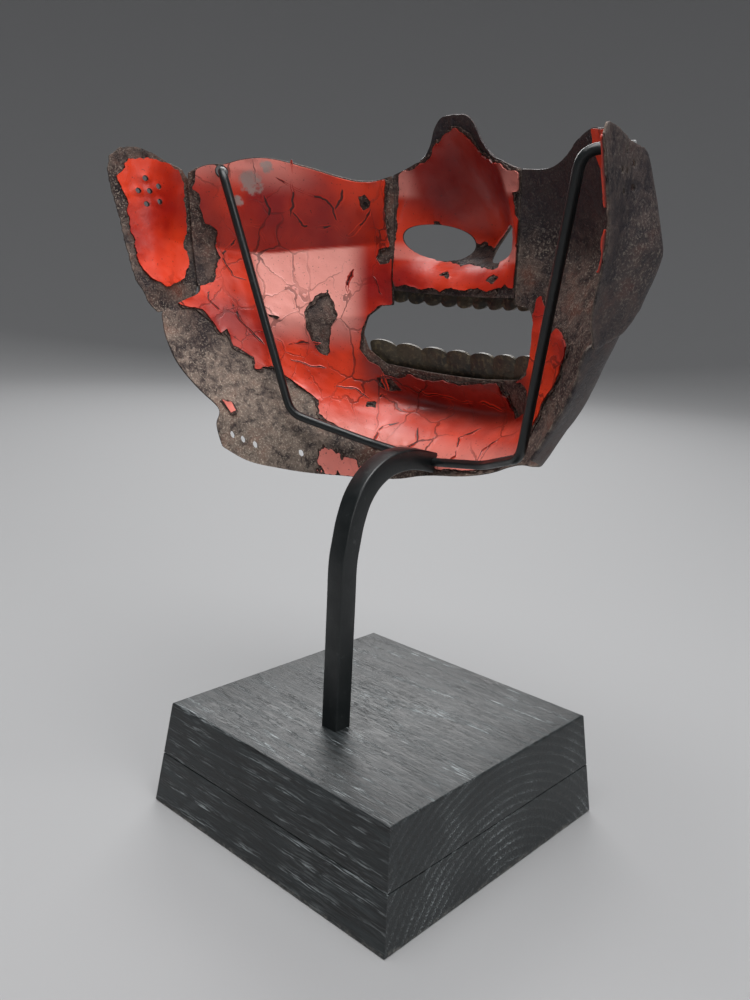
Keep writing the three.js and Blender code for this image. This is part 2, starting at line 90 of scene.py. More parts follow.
mouthOutline = [
    (14, 68.6), (19.5, 67.2), (22.8, 62.8), (24.7, 56), (23.8, 50.5), (19.5, 46), (8, 45.5),
    (-8, 45.5), (-20, 46.5), (-23.4, 51), (-23.4, 58), (-22.8, 65), (-20.5, 70), (-14, 72), (0, 80),
]
leftEarOutline = [
    (63.7, 84), (63.7, 103), (66.5, 109.5), (71.5, 113.5), (75, 115.8), (78.5, 116.5), (82, 115.5),
    (85, 112), (86, 106), (85.6, 98), (83.9, 85), (83.3, 66), (84.2, 52.5), (82.6, 44.2),
    (80.4, 41.4), (77.6, 42.8), (72.8, 48.6), (66.6, 56), (64, 64),
]
rightEarOutline = [
    (-63.7, 84), (-63.7, 102), (-66.8, 106.6), (-72, 107.8), (-77, 108.4), (-82, 109.2),
    (-85.6, 109), (-86.8, 106), (-85.6, 99), (-83.9, 92), (-81.4, 82), (-79.8, 72), (-78.6, 62),
    (-76.6, 52), (-75, 46.6), (-72.6, 48.8), (-66.8, 56), (-64, 64),
]
earHoles = [(76.5, 105), (73, 102.5), (78.7, 99.4), (75.7, 100), (76.7, 94.3), (73, 96.3)]
earTuck = {"depth": 2.0, "reach": 16}
flangeHoles = [(71.6, -9.5), (67.7, -9.7), (63.3, -10), (46.6, -7)]
hookHoles = [(57, 111), (-57, 111)]


def smooth(low, high, x):
    share = np.clip((x - low) / (high - low), 0, 1)
    return share * share * (3 - 2 * share)


# A cubic through the table's rows, whose slope at a row is that of its neighbours.
def alongTable(rows, column, x):
    table = np.array(rows, float)
    xs, ys = table[:, 0], table[:, column]
    slopes = np.gradient(ys, xs)
    x = np.clip(x, xs[0], xs[-1])
    i = np.clip(np.searchsorted(xs, x) - 1, 0, len(xs) - 2)
    span = xs[i + 1] - xs[i]
    t = (x - xs[i]) / span
    return (
        (2 * t**3 - 3 * t**2 + 1) * ys[i] + (t**3 - 2 * t**2 + t) * span * slopes[i]
        + (3 * t**2 - 2 * t**3) * ys[i + 1] + (t**3 - t**2) * span * slopes[i + 1]
    )


# The sheet's inner face: level sections that round from the front to the ears as a sine and a cosine,
# pushed out by the cheekbone's ridge, the chin's round boss and the nose. Millimetres.
def facePoint(angle, girth):
    frontZ, frontY, halfWidth, rearY, rearZ = (
        alongTable(faceForm["sections"], column, girth) for column in range(1, 6)
    )
    sine, turn = np.sin(np.radians(angle)), 1 - np.cos(np.radians(angle))
    x = halfWidth * sine
    y = frontY + (rearY - frontY) * turn
    z = frontZ + (rearZ - frontZ) * turn
    a = np.abs(angle)
    above = girth - alongTable(faceForm["cheekbone"], 1, a)
    r, c = faceForm["ridge"], faceForm["chin"]
    fall = r["below"] + (r["rearBelow"] - r["below"]) * smooth(49, 54, a)
    ridge = np.clip(np.where(above > 0, 1 - above / r["above"], 1 + above / fall), 0, None)
    ridge = ridge * r["height"] * smooth(13, 30, a) * (1 - smooth(64, 77, a))
    level = (girth - c["girth"]) / c["spread"]
    chin = c["height"] * np.exp(-(level**2)) * (1 - smooth(10, 32, a))
    noseWidth = alongTable(faceForm["nose"], 2, z)
    nose = alongTable(faceForm["nose"], 1, z) * np.clip(1 - (x / noseWidth) ** 2, 0, 1) ** 1.2
    return np.stack([x + ridge * sine, y - ridge * (1 - turn) - nose - chin, z], axis=-1)


# The outward normal, from the sheet's own slopes.
def faceNormal(angle, girth):
    step = 0.4
    across = facePoint(angle + step, girth) - facePoint(angle - step, girth)
    up = facePoint(angle, girth + step) - facePoint(angle, girth - step)
    normal = np.cross(across, up)
    return normal / np.linalg.norm(normal, axis=-1, keepdims=True)


def onFace(angle, girth, offset):
    return facePoint(angle, girth) + faceNormal(angle, girth) * np.asarray(offset)[..., None]


# Smooth random values on a unit lattice, in several sizes added up. Minus one to one.
def roughness(u, v, seed, octaves=3):
    table = np.random.default_rng(seed).random((64, 64)) * 2 - 1
    total, reach = np.zeros_like(u), 0.0
    for octave in range(octaves):
        share = 0.5**octave
        uu, vv = u * 2**octave + 17.3 * octave, v * 2**octave + 5.1 * octave
        i, j = np.floor(uu).astype(int), np.floor(vv).astype(int)
        s, t = smooth(0, 1, uu - i), smooth(0, 1, vv - j)
        low = table[i % 64, j % 64] * (1 - s) + table[(i + 1) % 64, j % 64] * s
        high = table[i % 64, (j + 1) % 64] * (1 - s) + table[(i + 1) % 64, (j + 1) % 64] * s
        total += share * (low * (1 - t) + high * t)
        reach += share
    return total / reach * 1.6


# How many millimetres a place lies inside a closed outline of (angle, girth) corners; negative outside.
def insideOf(outline, angle, girth):
    width = faceEdges["degreeWidth"]
    corners = np.array(outline, float) * (width, 1)
    nextCorners = np.roll(corners, -1, axis=0)
    x, y = np.asarray(angle) * width, np.asarray(girth, float)
    nearest = np.full(np.shape(x), 1e9)
    inside = np.zeros(np.shape(x), bool)
    for (x0, y0), (x1, y1) in zip(corners, nextCorners):
        dx, dy = x1 - x0, y1 - y0
        share = np.clip(((x - x0) * dx + (y - y0) * dy) / (dx * dx + dy * dy), 0, 1)
        nearest = np.minimum(nearest, np.hypot(x - x0 - share * dx, y - y0 - share * dy))
        if y0 != y1:
            crosses = ((y0 > y) != (y1 > y)) & (x < dx * (y - y0) / dy + x0)
            inside ^= crosses
    return np.where(inside, nearest, -nearest)


def outsideHoles(holes, radius, angle, girth):
    clear = np.full(np.shape(angle), 1e9)
    for holeAngle, holeGirth in holes:
        away = np.hypot((angle - holeAngle) * faceEdges["degreeWidth"], girth - holeGirth)
        clear = np.minimum(clear, away - radius)
    return clear


def upperGirth(angle):
    a = np.abs(angle)
    left = alongTable(faceEdges["upper"], 1, a)
    return np.where(angle < 0, alongTable(faceEdges["upper"], 2, a), left)


# Distance in millimetres inside the cheeks' sheet: under its upper edge, over its lower edge and
# in front of its rear edge. Each is the gap along one direction, eased by the edge's own slope.
def insideShell(angle, girth):
    width = faceEdges["degreeWidth"]
    slope = (upperGirth(angle + 0.5) - upperGirth(angle - 0.5)) / width
    below = (upperGirth(angle) - girth) / np.hypot(1, slope)
    lower = alongTable(faceEdges["lower"], 1, angle)
    rear = np.where(
        angle < 0, alongTable(faceEdges["rear"], 2, girth), alongTable(faceEdges["rear"], 1, girth)
    )
    ahead = (rear - np.abs(angle)) * width
    return np.minimum(np.minimum(below, girth - lower), ahead)


def shellDepth(angle, girth):
    width = faceEdges["degreeWidth"]
    seam = (np.abs(angle) - faceEdges["seamAngle"]) * width
    besideNose = np.maximum(seam, np.where(girth < 60, 1e9, -1e9))
    depth = np.minimum(insideShell(angle, girth), besideNose)
    depth = np.minimum(depth, -insideOf(mouthOutline, angle, girth))
    depth = np.minimum(depth, outsideHoles(flangeHoles, 1.3, angle, girth))
    return np.minimum(depth, outsideHoles(hookHoles, 2.2, angle, girth))


nostrilForm = {"x": 13.6, "z": 197.4, "halfLength": 9.4, "halfHeight": 5.6, "tilt": 12}


# Distance inside the nose plate, whose nostrils are level ellipses drilled from the front.
def noseDepth(angle, girth):
    width = faceEdges["degreeWidth"]
    slope = (upperGirth(angle + 0.3) - upperGirth(angle - 0.3)) / (0.6 * width)
    depth = (upperGirth(angle) - girth) / np.hypot(1, slope)
    depth = np.minimum(depth, girth - faceEdges["lipGirth"])
    depth = np.minimum(depth, (faceEdges["seamAngle"] - 0.2 - np.abs(angle)) * width)
    place = facePoint(angle, girth)
    tilt = math.radians(nostrilForm["tilt"])
    for sign in (1, -1):
        dx, dz = place[..., 0] - sign * nostrilForm["x"], place[..., 2] - nostrilForm["z"]
        along = (sign * dx * math.cos(tilt) + dz * math.sin(tilt)) / nostrilForm["halfLength"]
        across = (-sign * dx * math.sin(tilt) + dz * math.cos(tilt)) / nostrilForm["halfHeight"]
        depth = np.minimum(depth, (np.hypot(along, across) - 1) * nostrilForm["halfHeight"])
    return depth


# For each of the 16 ways a cell's corners can be in or out: the polygons to keep. 0 to 3 are the cell's
# corners and 4 to 7 the crossings on its sides, both counted anticlockwise from the lowest angle.
cellShapes = {
    1: [(0, 4, 7)], 2: [(1, 5, 4)], 3: [(0, 1, 5, 7)], 4: [(2, 6, 5)], 5: [(0, 4, 7), (2, 6, 5)],
    6: [(1, 2, 6, 4)], 7: [(0, 1, 2, 6, 7)], 8: [(3, 7, 6)], 9: [(0, 4, 6, 3)],
    10: [(1, 5, 4), (3, 7, 6)], 11: [(0, 1, 5, 6, 3)], 12: [(2, 3, 7, 5)], 13: [(0, 4, 5, 2, 3)],
    14: [(1, 2, 3, 7, 4)], 15: [(0, 1, 2, 3)],
}


def newPiece(name, points, triangles, sharpAngle=40):
    mesh = bpy.data.meshes.new(name)
    mesh.vertices.add(len(points))
    mesh.vertices.foreach_set("co", np.asarray(points, np.float32).ravel())
    mesh.loops.add(len(triangles) * 3)
    mesh.loops.foreach_set("vertex_index", np.asarray(triangles, np.int32).ravel())
    mesh.polygons.add(len(triangles))
    mesh.polygons.foreach_set("loop_start", np.arange(0, len(triangles) * 3, 3, dtype=np.int32))
    mesh.update(calc_edges=True)
    mesh.shade_smooth()
    mesh.set_sharp_from_angle(angle=math.radians(sharpAngle))
    piece = bpy.data.objects.new(name, mesh)
    bpy.context.scene.collection.objects.link(piece)
    return piece


def giveAttribute(piece, name, values):
    layer = piece.data.attributes.new(name, "FLOAT", "POINT")
    layer.data.foreach_set("value", np.asarray(values, np.float32))


# A sheet over (angle, girth): kept where depthOf is over zero, cut through the grid's cells along zero,
# and given a wall from the innerOf to the outerOf offset. Returns the piece and each point's angle,
# girth, depth and whether it is on the inner face.
def cutSheet(name, angles, girths, cell, depthOf, innerOf, outerOf, placeOf=onFace):
    width = faceEdges["degreeWidth"]
    a = np.arange(angles[0], angles[1] + cell / width, cell / width)
    g = np.arange(girths[0], girths[1] + cell, cell)
    n, m = len(a), len(g)
    gridA, gridG = np.meshgrid(a, g, indexing="ij")
    depth = depthOf(gridA, gridG)
    depth[[0, -1], :] = -1
    depth[:, [0, -1]] = -1
    inside = depth > 0
    # places of all corners, then of crossings between neighbours in angle, then in girth
    def crossing(first, second, low, high):
        t = np.clip(first / np.where(first == second, 1, first - second), 0.04, 0.96)
        return low + (high - low) * t
    acrossA = crossing(depth[:-1], depth[1:], gridA[:-1], gridA[1:])
    upG = crossing(depth[:, :-1], depth[:, 1:], gridG[:, :-1], gridG[:, 1:])
    allA = np.concatenate([gridA.ravel(), acrossA.ravel(), gridA[:, :-1].ravel()])
    allG = np.concatenate([gridG.ravel(), gridG[:-1].ravel(), upG.ravel()])
    allD = np.concatenate([depth.ravel(), np.zeros(acrossA.size + upG.size)])
    i, j = np.meshgrid(np.arange(n - 1), np.arange(m - 1), indexing="ij")
    afterGrid, afterAcross = n * m, n * m + (n - 1) * m
    ids = np.stack([
        i * m + j, (i + 1) * m + j, (i + 1) * m + j + 1, i * m + j + 1,
        afterGrid + i * m + j, afterAcross + (i + 1) * (m - 1) + j,
        afterGrid + i * m + j + 1, afterAcross + i * (m - 1) + j,
    ], axis=-1)
    kind = (inside[:-1, :-1] * 1 + inside[1:, :-1] * 2 + inside[1:, 1:] * 4 + inside[:-1, 1:] * 8)
    faces, rims = [], []
    for shape, polygons in cellShapes.items():
        cells = ids[kind == shape]
        for polygon in polygons:
            corners = cells[:, list(polygon)]
            for k in range(1, len(polygon) - 1):
                faces.append(corners[:, [0, k, k + 1]])
            for k, corner in enumerate(polygon):
                follower = polygon[(k + 1) % len(polygon)]
                if corner > 3 and follower > 3:
                    rims.append(cells[:, [corner, follower]])
    faces, rims = np.concatenate(faces), np.concatenate(rims)
    used, faces = np.unique(faces, return_inverse=True)
    faces = faces.reshape(-1, 3)
    rims = np.searchsorted(used, rims)
    count = len(used)
    angle, girth, depthHere = allA[used], allG[used], allD[used]
    inner = placeOf(angle, girth, innerOf(angle, girth, depthHere))
    outer = placeOf(angle, girth, outerOf(angle, girth, depthHere))
    wall = np.concatenate([
        np.stack([rims[:, 1] + count, rims[:, 0] + count, rims[:, 0]], axis=1),
        np.stack([rims[:, 1] + count, rims[:, 0], rims[:, 1]], axis=1),
    ])
    triangles = np.concatenate([faces + count, faces[:, ::-1], wall])
    piece = newPiece(name, np.concatenate([inner, outer]) * mm, triangles)
    doubled = [np.tile(values, 2) for values in (angle, girth, depthHere)]
    onInner = np.repeat([1.0, 0.0], count)
    return piece, doubled[0], doubled[1], doubled[2], onInner


def newGroup(name, inputs, outputs):
    group = bpy.data.node_groups.new(name, "ShaderNodeTree")
    for label, kind, value in inputs:
        socket = group.interface.new_socket(name=label, in_out="INPUT", socket_type=kind)
        if value is not None:
            socket.default_value = value
    for label, kind in outputs:
        group.interface.new_socket(name=label, in_out="OUTPUT", socket_type=kind)
    entry = group.nodes.new("NodeGroupInput")
    leave = group.nodes.new("NodeGroupOutput")
    return group, entry, leave


# Gives each named socket its value, or links it where the value is another node's output.
def feed(tree, node, values):
    for key, value in values.items():
        if isinstance(value, bpy.types.NodeSocket):
            tree.links.new(value, node.inputs[key])
        else:
            node.inputs[key].default_value = value


def addNode(tree, kind, settings=None, values=None):
    node = tree.nodes.new(kind)
    for key, value in (settings or {}).items():
        setattr(node, key, value)
    feed(tree, node, values or {})
    return node


def noiseOf(tree, place, scale, detail=3.0, rough=0.5, distortion=0.0):
    node = addNode(tree, "ShaderNodeTexNoise", None, {
        "Vector": place, "Scale": scale, "Detail": detail, "Roughness": rough, "Distortion": distortion,
    })
    return node.outputs["Fac"]


def rampOf(tree, value, low, high, toLow=0.0, toHigh=1.0):
    node = addNode(tree, "ShaderNodeMapRange", {"interpolation_type": "SMOOTHSTEP"}, {
        "Value": value, "From Min": low, "From Max": high, "To Min": toLow, "To Max": toHigh,
    })
    return node.outputs["Result"]


def mathOf(tree, operation, first, second=0.0):
    return addNode(tree, "ShaderNodeMath", {"operation": operation}, {0: first, 1: second}).outputs[0]


def times(tree, first, second):
    return mathOf(tree, "MULTIPLY", first, second)


def plus(tree, first, second):
    return mathOf(tree, "ADD", first, second)


def mixColour(tree, share, first, second, blend="MIX"):
    node = addNode(tree, "ShaderNodeMix", {"data_type": "RGBA", "blend_type": blend})
    feed(tree, node, {0: share, 6: first, 7: second})
    return node.outputs[2]


def attributeOf(tree, name):
    return addNode(tree, "ShaderNodeAttribute", {"attribute_name": name}).outputs["Fac"]


# Craquelure: a net of fine cracks between rounded cells, bent by noise. Puts out a mask that is one in
# a crack, and a height that is raised a little beside it.
def craquelureGroup():
    group, entry, leave = newGroup(
        "craquelure",
        [
            ("Place", "NodeSocketVector", None),
            ("Cell Scale", "NodeSocketFloat", 90.0),
            ("Crack Width", "NodeSocketFloat", 0.02),
            ("Broken Share", "NodeSocketFloat", 0.5),
        ],
        [("Crack", "NodeSocketFloat"), ("Height", "NodeSocketFloat")],
    )
    place = entry.outputs["Place"]
    bend = addNode(group, "ShaderNodeTexNoise", None, {"Vector": place, "Scale": 140.0, "Detail": 3.0})
    shift = addNode(group, "ShaderNodeVectorMath", {"operation": "SCALE"}, {
        0: bend.outputs["Color"], "Scale": 0.006,
    })
    bent = addNode(group, "ShaderNodeVectorMath", {"operation": "ADD"}, {
        0: place, 1: shift.outputs[0],
    })
    cells = addNode(group, "ShaderNodeTexVoronoi", {"feature": "DISTANCE_TO_EDGE"}, {
        "Vector": bent.outputs[0], "Scale": entry.outputs["Cell Scale"],
    })
    distance = cells.outputs["Distance"]
    present = noiseOf(group, place, 55.0, 2.0)
    width = times(group, entry.outputs["Crack Width"], rampOf(group, present, 0.35, 0.6))
    near = mathOf(group, "DIVIDE", distance, mathOf(group, "MAXIMUM", width, 0.0005))
    crack = rampOf(group, near, 0.6, 1.1, 1.0, 0.0)
    kept = rampOf(group, noiseOf(group, place, 38.0, 2.0), entry.outputs["Broken Share"], 0.75)
    crack = times(group, crack, kept)
    lip = times(group, rampOf(group, near, 1.0, 5.0, 1.0, 0.0), kept)
    height = mathOf(group, "SUBTRACT", times(group, lip, 0.5), crack)
    group.links.new(crack, leave.inputs["Crack"])
    group.links.new(height, leave.inputs["Height"])
    return group


# Old iron: speckles of rust and grime over a fibrous ground. Colour share, pale fleck and height.
def ironGrainGroup():
    group, entry, leave = newGroup(
        "ironGrain",
        [("Place", "NodeSocketVector", None), ("Grain Scale", "NodeSocketFloat", 900.0)],
        [("Tone", "NodeSocketFloat"), ("Fleck", "NodeSocketFloat"), ("Height", "NodeSocketFloat")],
    )
    place, scale = entry.outputs["Place"], entry.outputs["Grain Scale"]
    fine = noiseOf(group, place, scale, 4.0, 0.6)
    middle = noiseOf(group, place, times(group, scale, 0.22), 4.0, 0.65, 0.6)
    broad = noiseOf(group, place, times(group, scale, 0.05), 3.0, 0.55)
    tone = plus(group, times(group, middle, 0.55), times(group, broad, 0.45))
    fleck = rampOf(group, fine, 0.52, 0.64)
    height = plus(group, times(group, fine, 0.45), times(group, middle, 0.55))
    group.links.new(tone, leave.inputs["Tone"])
    group.links.new(fleck, leave.inputs["Fleck"])
    group.links.new(height, leave.inputs["Height"])
    return group


# Dust and painted sheen: a thin uneven pale veil that lies thickest on what faces up, partly dust and
# partly a painted sheen of the overhead light.
def dustAndSheenVeilGroup():
    group, entry, leave = newGroup(
        "dustAndSheenVeil",
        [("Place", "NodeSocketVector", None), ("Amount", "NodeSocketFloat", 0.3)],
        [("Veil", "NodeSocketFloat")],
    )
    normal = addNode(group, "ShaderNodeNewGeometry").outputs["Normal"]
    up = addNode(group, "ShaderNodeSeparateXYZ", None, {0: normal}).outputs["Z"]
    facing = rampOf(group, up, -0.15, 0.95)
    cloud = rampOf(group, noiseOf(group, entry.outputs["Place"], 60.0, 5.0, 0.65), 0.3, 0.75, 0.45, 1.0)
    veil = times(group, times(group, facing, cloud), entry.outputs["Amount"])
    group.links.new(veil, leave.inputs["Veil"])
    return group


craquelure, ironGrain, dustAndSheenVeil = craquelureGroup(), ironGrainGroup(), dustAndSheenVeilGroup()


def placeGroup(tree, group, values):
    node = addNode(tree, "ShaderNodeGroup", {"node_tree": group})
    feed(tree, node, values)
    return node.outputs


def newMaterial(name):
    material = bpy.data.materials.new(name)
    material.use_nodes = True
    tree = material.node_tree
    shader = tree.nodes["Principled BSDF"]
    place = addNode(tree, "ShaderNodeTexCoord").outputs["Object"]
    return material, tree, shader, place


def bumpInto(tree, shader, height, strength, distance):
    bump = addNode(tree, "ShaderNodeBump", None, {
        "Strength": strength, "Distance": distance, "Height": height,
    })
    tree.links.new(bump.outputs["Normal"], shader.inputs["Normal"])


def fromScreen(red, green, blue):
    channels = np.array([red, green, blue]) / 255
    linear = np.where(channels > 0.04045, ((channels + 0.055) / 1.055) ** 2.4, channels / 12.92)
    return (*[float(c) for c in linear], 1.0)


# Lacquer colours: the pale pink is for dust and painted sheen, the shadow red for painted shade, the near
# black for grime and painted edge shadow.
lacquerLook = {
    "vermilion": fromScreen(234, 62, 24),
    "deep": fromScreen(150, 12, 10),
    "paintedSheen": fromScreen(246, 168, 156),
    "grimeAndEdgeShade": fromScreen(34, 12, 10),
    "scuff": fromScreen(168, 142, 136),
    "shadow": fromScreen(112, 6, 6),
}


# Red lacquer: vermilion that deepens in clouds, darkened by painted shade where the point attribute "deep"
# is high, paled by dust and painted sheen where it faces up and by the painted-sheen attribute, scuffed to
# grey where the point attribute "scuff" is high, dark at its broken edges and in its cracks with grime and
# a painted shadow.
def redLacquer(name, cellScale=85.0, paintedSheen=0.8, broken=0.42):
    material, tree, shader, place = newMaterial(name)
    cloud = noiseOf(tree, place, 32.0, 3.0)
    colour = mixColour(tree, rampOf(tree, cloud, 0.35, 0.7), lacquerLook["vermilion"], lacquerLook["deep"])
    # painted shade: darkened towards the shadow red where the point attribute "deep" is high
    colour = mixColour(tree, attributeOf(tree, "deep"), colour, lacquerLook["shadow"])
    # painted sheen: paled where it faces up (dust and painted sheen) and where the painted-sheen attribute
    # is high
    veil = placeGroup(tree, dustAndSheenVeil, {"Place": place, "Amount": paintedSheen})["Veil"]
    veil = mathOf(tree, "MAXIMUM", veil, attributeOf(tree, "paintedSheen"))
    colour = mixColour(tree, veil, colour, lacquerLook["paintedSheen"])
    dots = rampOf(tree, noiseOf(tree, place, 1300.0, 2.0), 0.66, 0.74, 0.0, 0.6)
    colour = mixColour(tree, dots, colour, lacquerLook["grimeAndEdgeShade"])
    rubbed = times(tree, attributeOf(tree, "scuff"), noiseOf(tree, place, 420.0, 5.0, 0.7))
    rubbed = rampOf(tree, rubbed, 0.28, 0.5)
    colour = mixColour(tree, rubbed, colour, lacquerLook["scuff"])
    net = placeGroup(tree, craquelure, {
        "Place": place, "Cell Scale": cellScale, "Crack Width": 0.032, "Broken Share": broken,
    })
    colour = mixColour(tree, times(tree, net["Crack"], 0.85), colour, lacquerLook["grimeAndEdgeShade"])
    # broken edge walls and crack slots near black: grime, and a painted shadow of the step and the gap
    edge = rampOf(tree, attributeOf(tree, "edge"), 0.0, 1.0)
    colour = mixColour(tree, times(tree, edge, 0.9), colour, lacquerLook["grimeAndEdgeShade"])
    tree.links.new(colour, shader.inputs["Base Color"])
    rough = rampOf(tree, noiseOf(tree, place, 240.0, 4.0), 0.3, 0.75, 0.28, 0.46)
    rough = mathOf(tree, "MAXIMUM", rough, times(tree, rubbed, 0.8))
    tree.links.new(rough, shader.inputs["Roughness"])
    height = plus(tree, net["Height"], times(tree, noiseOf(tree, place, 210.0, 3.0), 0.5))
    height = plus(tree, height, times(tree, noiseOf(tree, place, 1500.0, 2.0), 0.12))
    bumpInto(tree, shader, height, 0.5, 0.0005)
    shader.inputs["Specular IOR Level"].default_value = 0.5
    return material


ironLook = {
    "brown": fromScreen(106, 88, 80),
    "dark": fromScreen(38, 28, 30),
    "pale": fromScreen(186, 172, 156),
    "rust": fromScreen(112, 58, 40),
}


# Bare russet iron: brown and dark clouds, rust, pale flecks, rough all over.
def russetIron(name, paleShare=0.5, darkShare=0.4, bump=0.9):
    material, tree, shader, place = newMaterial(name)
    grain = placeGroup(tree, ironGrain, {"Place": place, "Grain Scale": 1500.0})
    colour = mixColour(
        tree, rampOf(tree, grain["Tone"], 0.38, 0.62), ironLook["dark"], ironLook["brown"]
    )
    rust = rampOf(tree, noiseOf(tree, place, 75.0, 5.0, 0.65), 0.52, 0.72, 0.0, 0.6)
    colour = mixColour(tree, rust, colour, ironLook["rust"])
    patches = rampOf(tree, noiseOf(tree, place, 45.0, 3.0), 0.35, 0.65, 0.2, 1.0)
    pale = times(tree, grain["Fleck"], patches)
    flecked = plus(tree, times(tree, grain["Fleck"], 0.55), 0.3)
    speckle = times(tree, rampOf(tree, grain["Tone"], 0.36, 0.58), flecked)
    # pale speckle where the point attribute "pale" is high: the jaw's own paler iron, and a painted
    # highlight along the right cheek's edges
    worn = times(tree, attributeOf(tree, "pale"), speckle)
    pale = mathOf(tree, "MAXIMUM", times(tree, pale, paleShare), worn)
    colour = mixColour(tree, pale, colour, ironLook["pale"])
    shade = rampOf(tree, attributeOf(tree, "dark"), 0.0, 1.0, 0.0, darkShare * 2)
    colour = mixColour(tree, shade, colour, fromScreen(34, 30, 36))
    tree.links.new(colour, shader.inputs["Base Color"])
    rough = rampOf(tree, grain["Tone"], 0.3, 0.7, 0.62, 0.85)
    rough = mathOf(tree, "SUBTRACT", rough, times(tree, attributeOf(tree, "dark"), 0.25))
    tree.links.new(rough, shader.inputs["Roughness"])
    shader.inputs["Metallic"].default_value = 0.25
    bumpInto(tree, shader, grain["Height"], bump, 0.0009)
    return material


def groundCoat(name):
    material, tree, shader, place = newMaterial(name)
    grain = placeGroup(tree, ironGrain, {"Place": place, "Grain Scale": 1100.0})
    colour = mixColour(tree, grain["Tone"], fromScreen(26, 18, 16), fromScreen(66, 44, 36))
    colour = mixColour(tree, times(tree, grain["Fleck"], 0.5), colour, fromScreen(150, 128, 116))
    tree.links.new(colour, shader.inputs["Base Color"])
    shader.inputs["Roughness"].default_value = 0.75
    bumpInto(tree, shader, grain["Height"], 1.0, 0.0008)
    return material


def toothLacquer(name):
    material, tree, shader, place = newMaterial(name)
    grain = placeGroup(tree, ironGrain, {"Place": place, "Grain Scale": 700.0})
    colour = mixColour(
        tree, rampOf(tree, grain["Tone"], 0.35, 0.65), fromScreen(26, 23, 20), fromScreen(76, 66, 50)
    )
    colour = mixColour(tree, times(tree, grain["Fleck"], 0.35), colour, fromScreen(128, 112, 84))
    tree.links.new(colour, shader.inputs["Base Color"])
    tree.links.new(rampOf(tree, grain["Tone"], 0.3, 0.7, 0.42, 0.6), shader.inputs["Roughness"])
    bumpInto(tree, shader, grain["Height"], 0.6, 0.0006)
    return material


def blackPaint(name):
    material, tree, shader, place = newMaterial(name)
    orange = noiseOf(tree, place, 1400.0, 3.0)
    wear = rampOf(tree, noiseOf(tree, place, 300.0, 5.0, 0.7), 0.6, 0.72, 0.0, 0.35)
    colour = mixColour(tree, wear, fromScreen(20, 24, 25), fromScreen(74, 78, 78))
    tree.links.new(colour, shader.inputs["Base Color"])
    rough = rampOf(tree, noiseOf(tree, place, 160.0, 4.0), 0.3, 0.7, 0.3, 0.46)
    tree.links.new(rough, shader.inputs["Roughness"])
    shader.inputs["Metallic"].default_value = 0.0
    bumpInto(tree, shader, orange, 0.18, 0.0003)
    return material


ashLook = {
    "dark": fromScreen(10, 12, 13),
    "sheen": fromScreen(42, 48, 50),
    "filler": fromScreen(176, 184, 186),
}


# Black-stained ash with its grain along X. Rings are shells round an axis that lies under the board, so
# the ends show arches and the sides long lines. Pores are short dashes, fullest in the early wood.
def blackAsh(name):
    material, tree, shader, place = newMaterial(name)
    parts = addNode(tree, "ShaderNodeSeparateXYZ", None, {0: place})
    sway = noiseOf(tree, place, 9.0, 2.0)
    crossY = plus(tree, parts.outputs["Y"], times(tree, sway, 0.006))
    crossZ = plus(tree, parts.outputs["Z"], 0.035)
    fromPith = mathOf(tree, "SQRT", plus(tree, times(tree, crossY, crossY), times(tree, crossZ, crossZ)))
    fromPith = plus(tree, fromPith, times(tree, parts.outputs["X"], 0.025))
    ring = mathOf(tree, "FRACT", times(tree, fromPith, 330.0))
    early = rampOf(tree, ring, 0.0, 0.5, 1.0, 0.0)
    stretched = addNode(tree, "ShaderNodeMapping", None, {"Vector": place, "Scale": (0.06, 1.0, 1.0)})
    pore = noiseOf(tree, stretched.outputs[0], 2600.0, 2.0, 0.6)
    pores = times(tree, rampOf(tree, pore, 0.5, 0.62), plus(tree, early, 0.15))
    fibre = noiseOf(tree, stretched.outputs[0], 900.0, 4.0, 0.6)
    colour = mixColour(tree, rampOf(tree, fibre, 0.3, 0.75), ashLook["dark"], ashLook["sheen"])
    filled = times(tree, pores, rampOf(tree, noiseOf(tree, place, 50.0, 3.0), 0.4, 0.7, 0.1, 0.75))
    colour = mixColour(tree, filled, colour, ashLook["filler"])
    colour = mixColour(tree, times(tree, attributeOf(tree, "worn"), rampOf(
        tree, noiseOf(tree, place, 700.0, 4.0, 0.7), 0.45, 0.65)), colour, fromScreen(120, 118, 112))
    tree.links.new(colour, shader.inputs["Base Color"])
    tree.links.new(rampOf(tree, fibre, 0.3, 0.7, 0.34, 0.52), shader.inputs["Roughness"])
    height = mathOf(tree, "SUBTRACT", times(tree, fibre, 0.4), pores)
    height = mathOf(tree, "SUBTRACT", height, times(tree, early, 0.3))
    bumpInto(tree, shader, height, 0.55, 0.0005)
    return material


cheekRed = redLacquer("cheekRedLacquer", 78.0, 0.22, 0.36)
noseRed = redLacquer("noseRedLacquer", 60.0, 0.08, 0.6)
earRed = redLacquer("earRedLacquer", 60.0, 0.25, 0.6)
bareIron = russetIron("bareRussetIron", 0.55)
earIron = russetIron("earRussetIron", 0.6)
groundBrown = groundCoat("brownGroundCoat")
toothDark = toothLacquer("darkToothLacquer")
satinBlack = blackPaint("satinBlackPaint")
stainedAsh = blackAsh("blackStainedAsh")
print("finishes ready")


def dress(piece, material, nodes=()):
    piece.data.materials.append(material)
    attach(piece, "root")
    if nodes:
        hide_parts(*nodes)


sheetWall = {"lacquerDeep": 0.75, "outer": 1.75, "pitting": 0.16}


def ironInner(angle, girth, depth):
    pits = roughness(angle * 0.9, girth * 0.6, 3, 4) * sheetWall["pitting"]
    return sheetWall["lacquerDeep"] + pits


def ironOuter(angle, girth, depth):
    hammered = roughness(angle * 0.25, girth * 0.17, 5, 2) * 0.08
    return sheetWall["outer"] - 0.1 + hammered - 0.3 * np.exp(-np.clip(depth, 0, None) / 0.5)


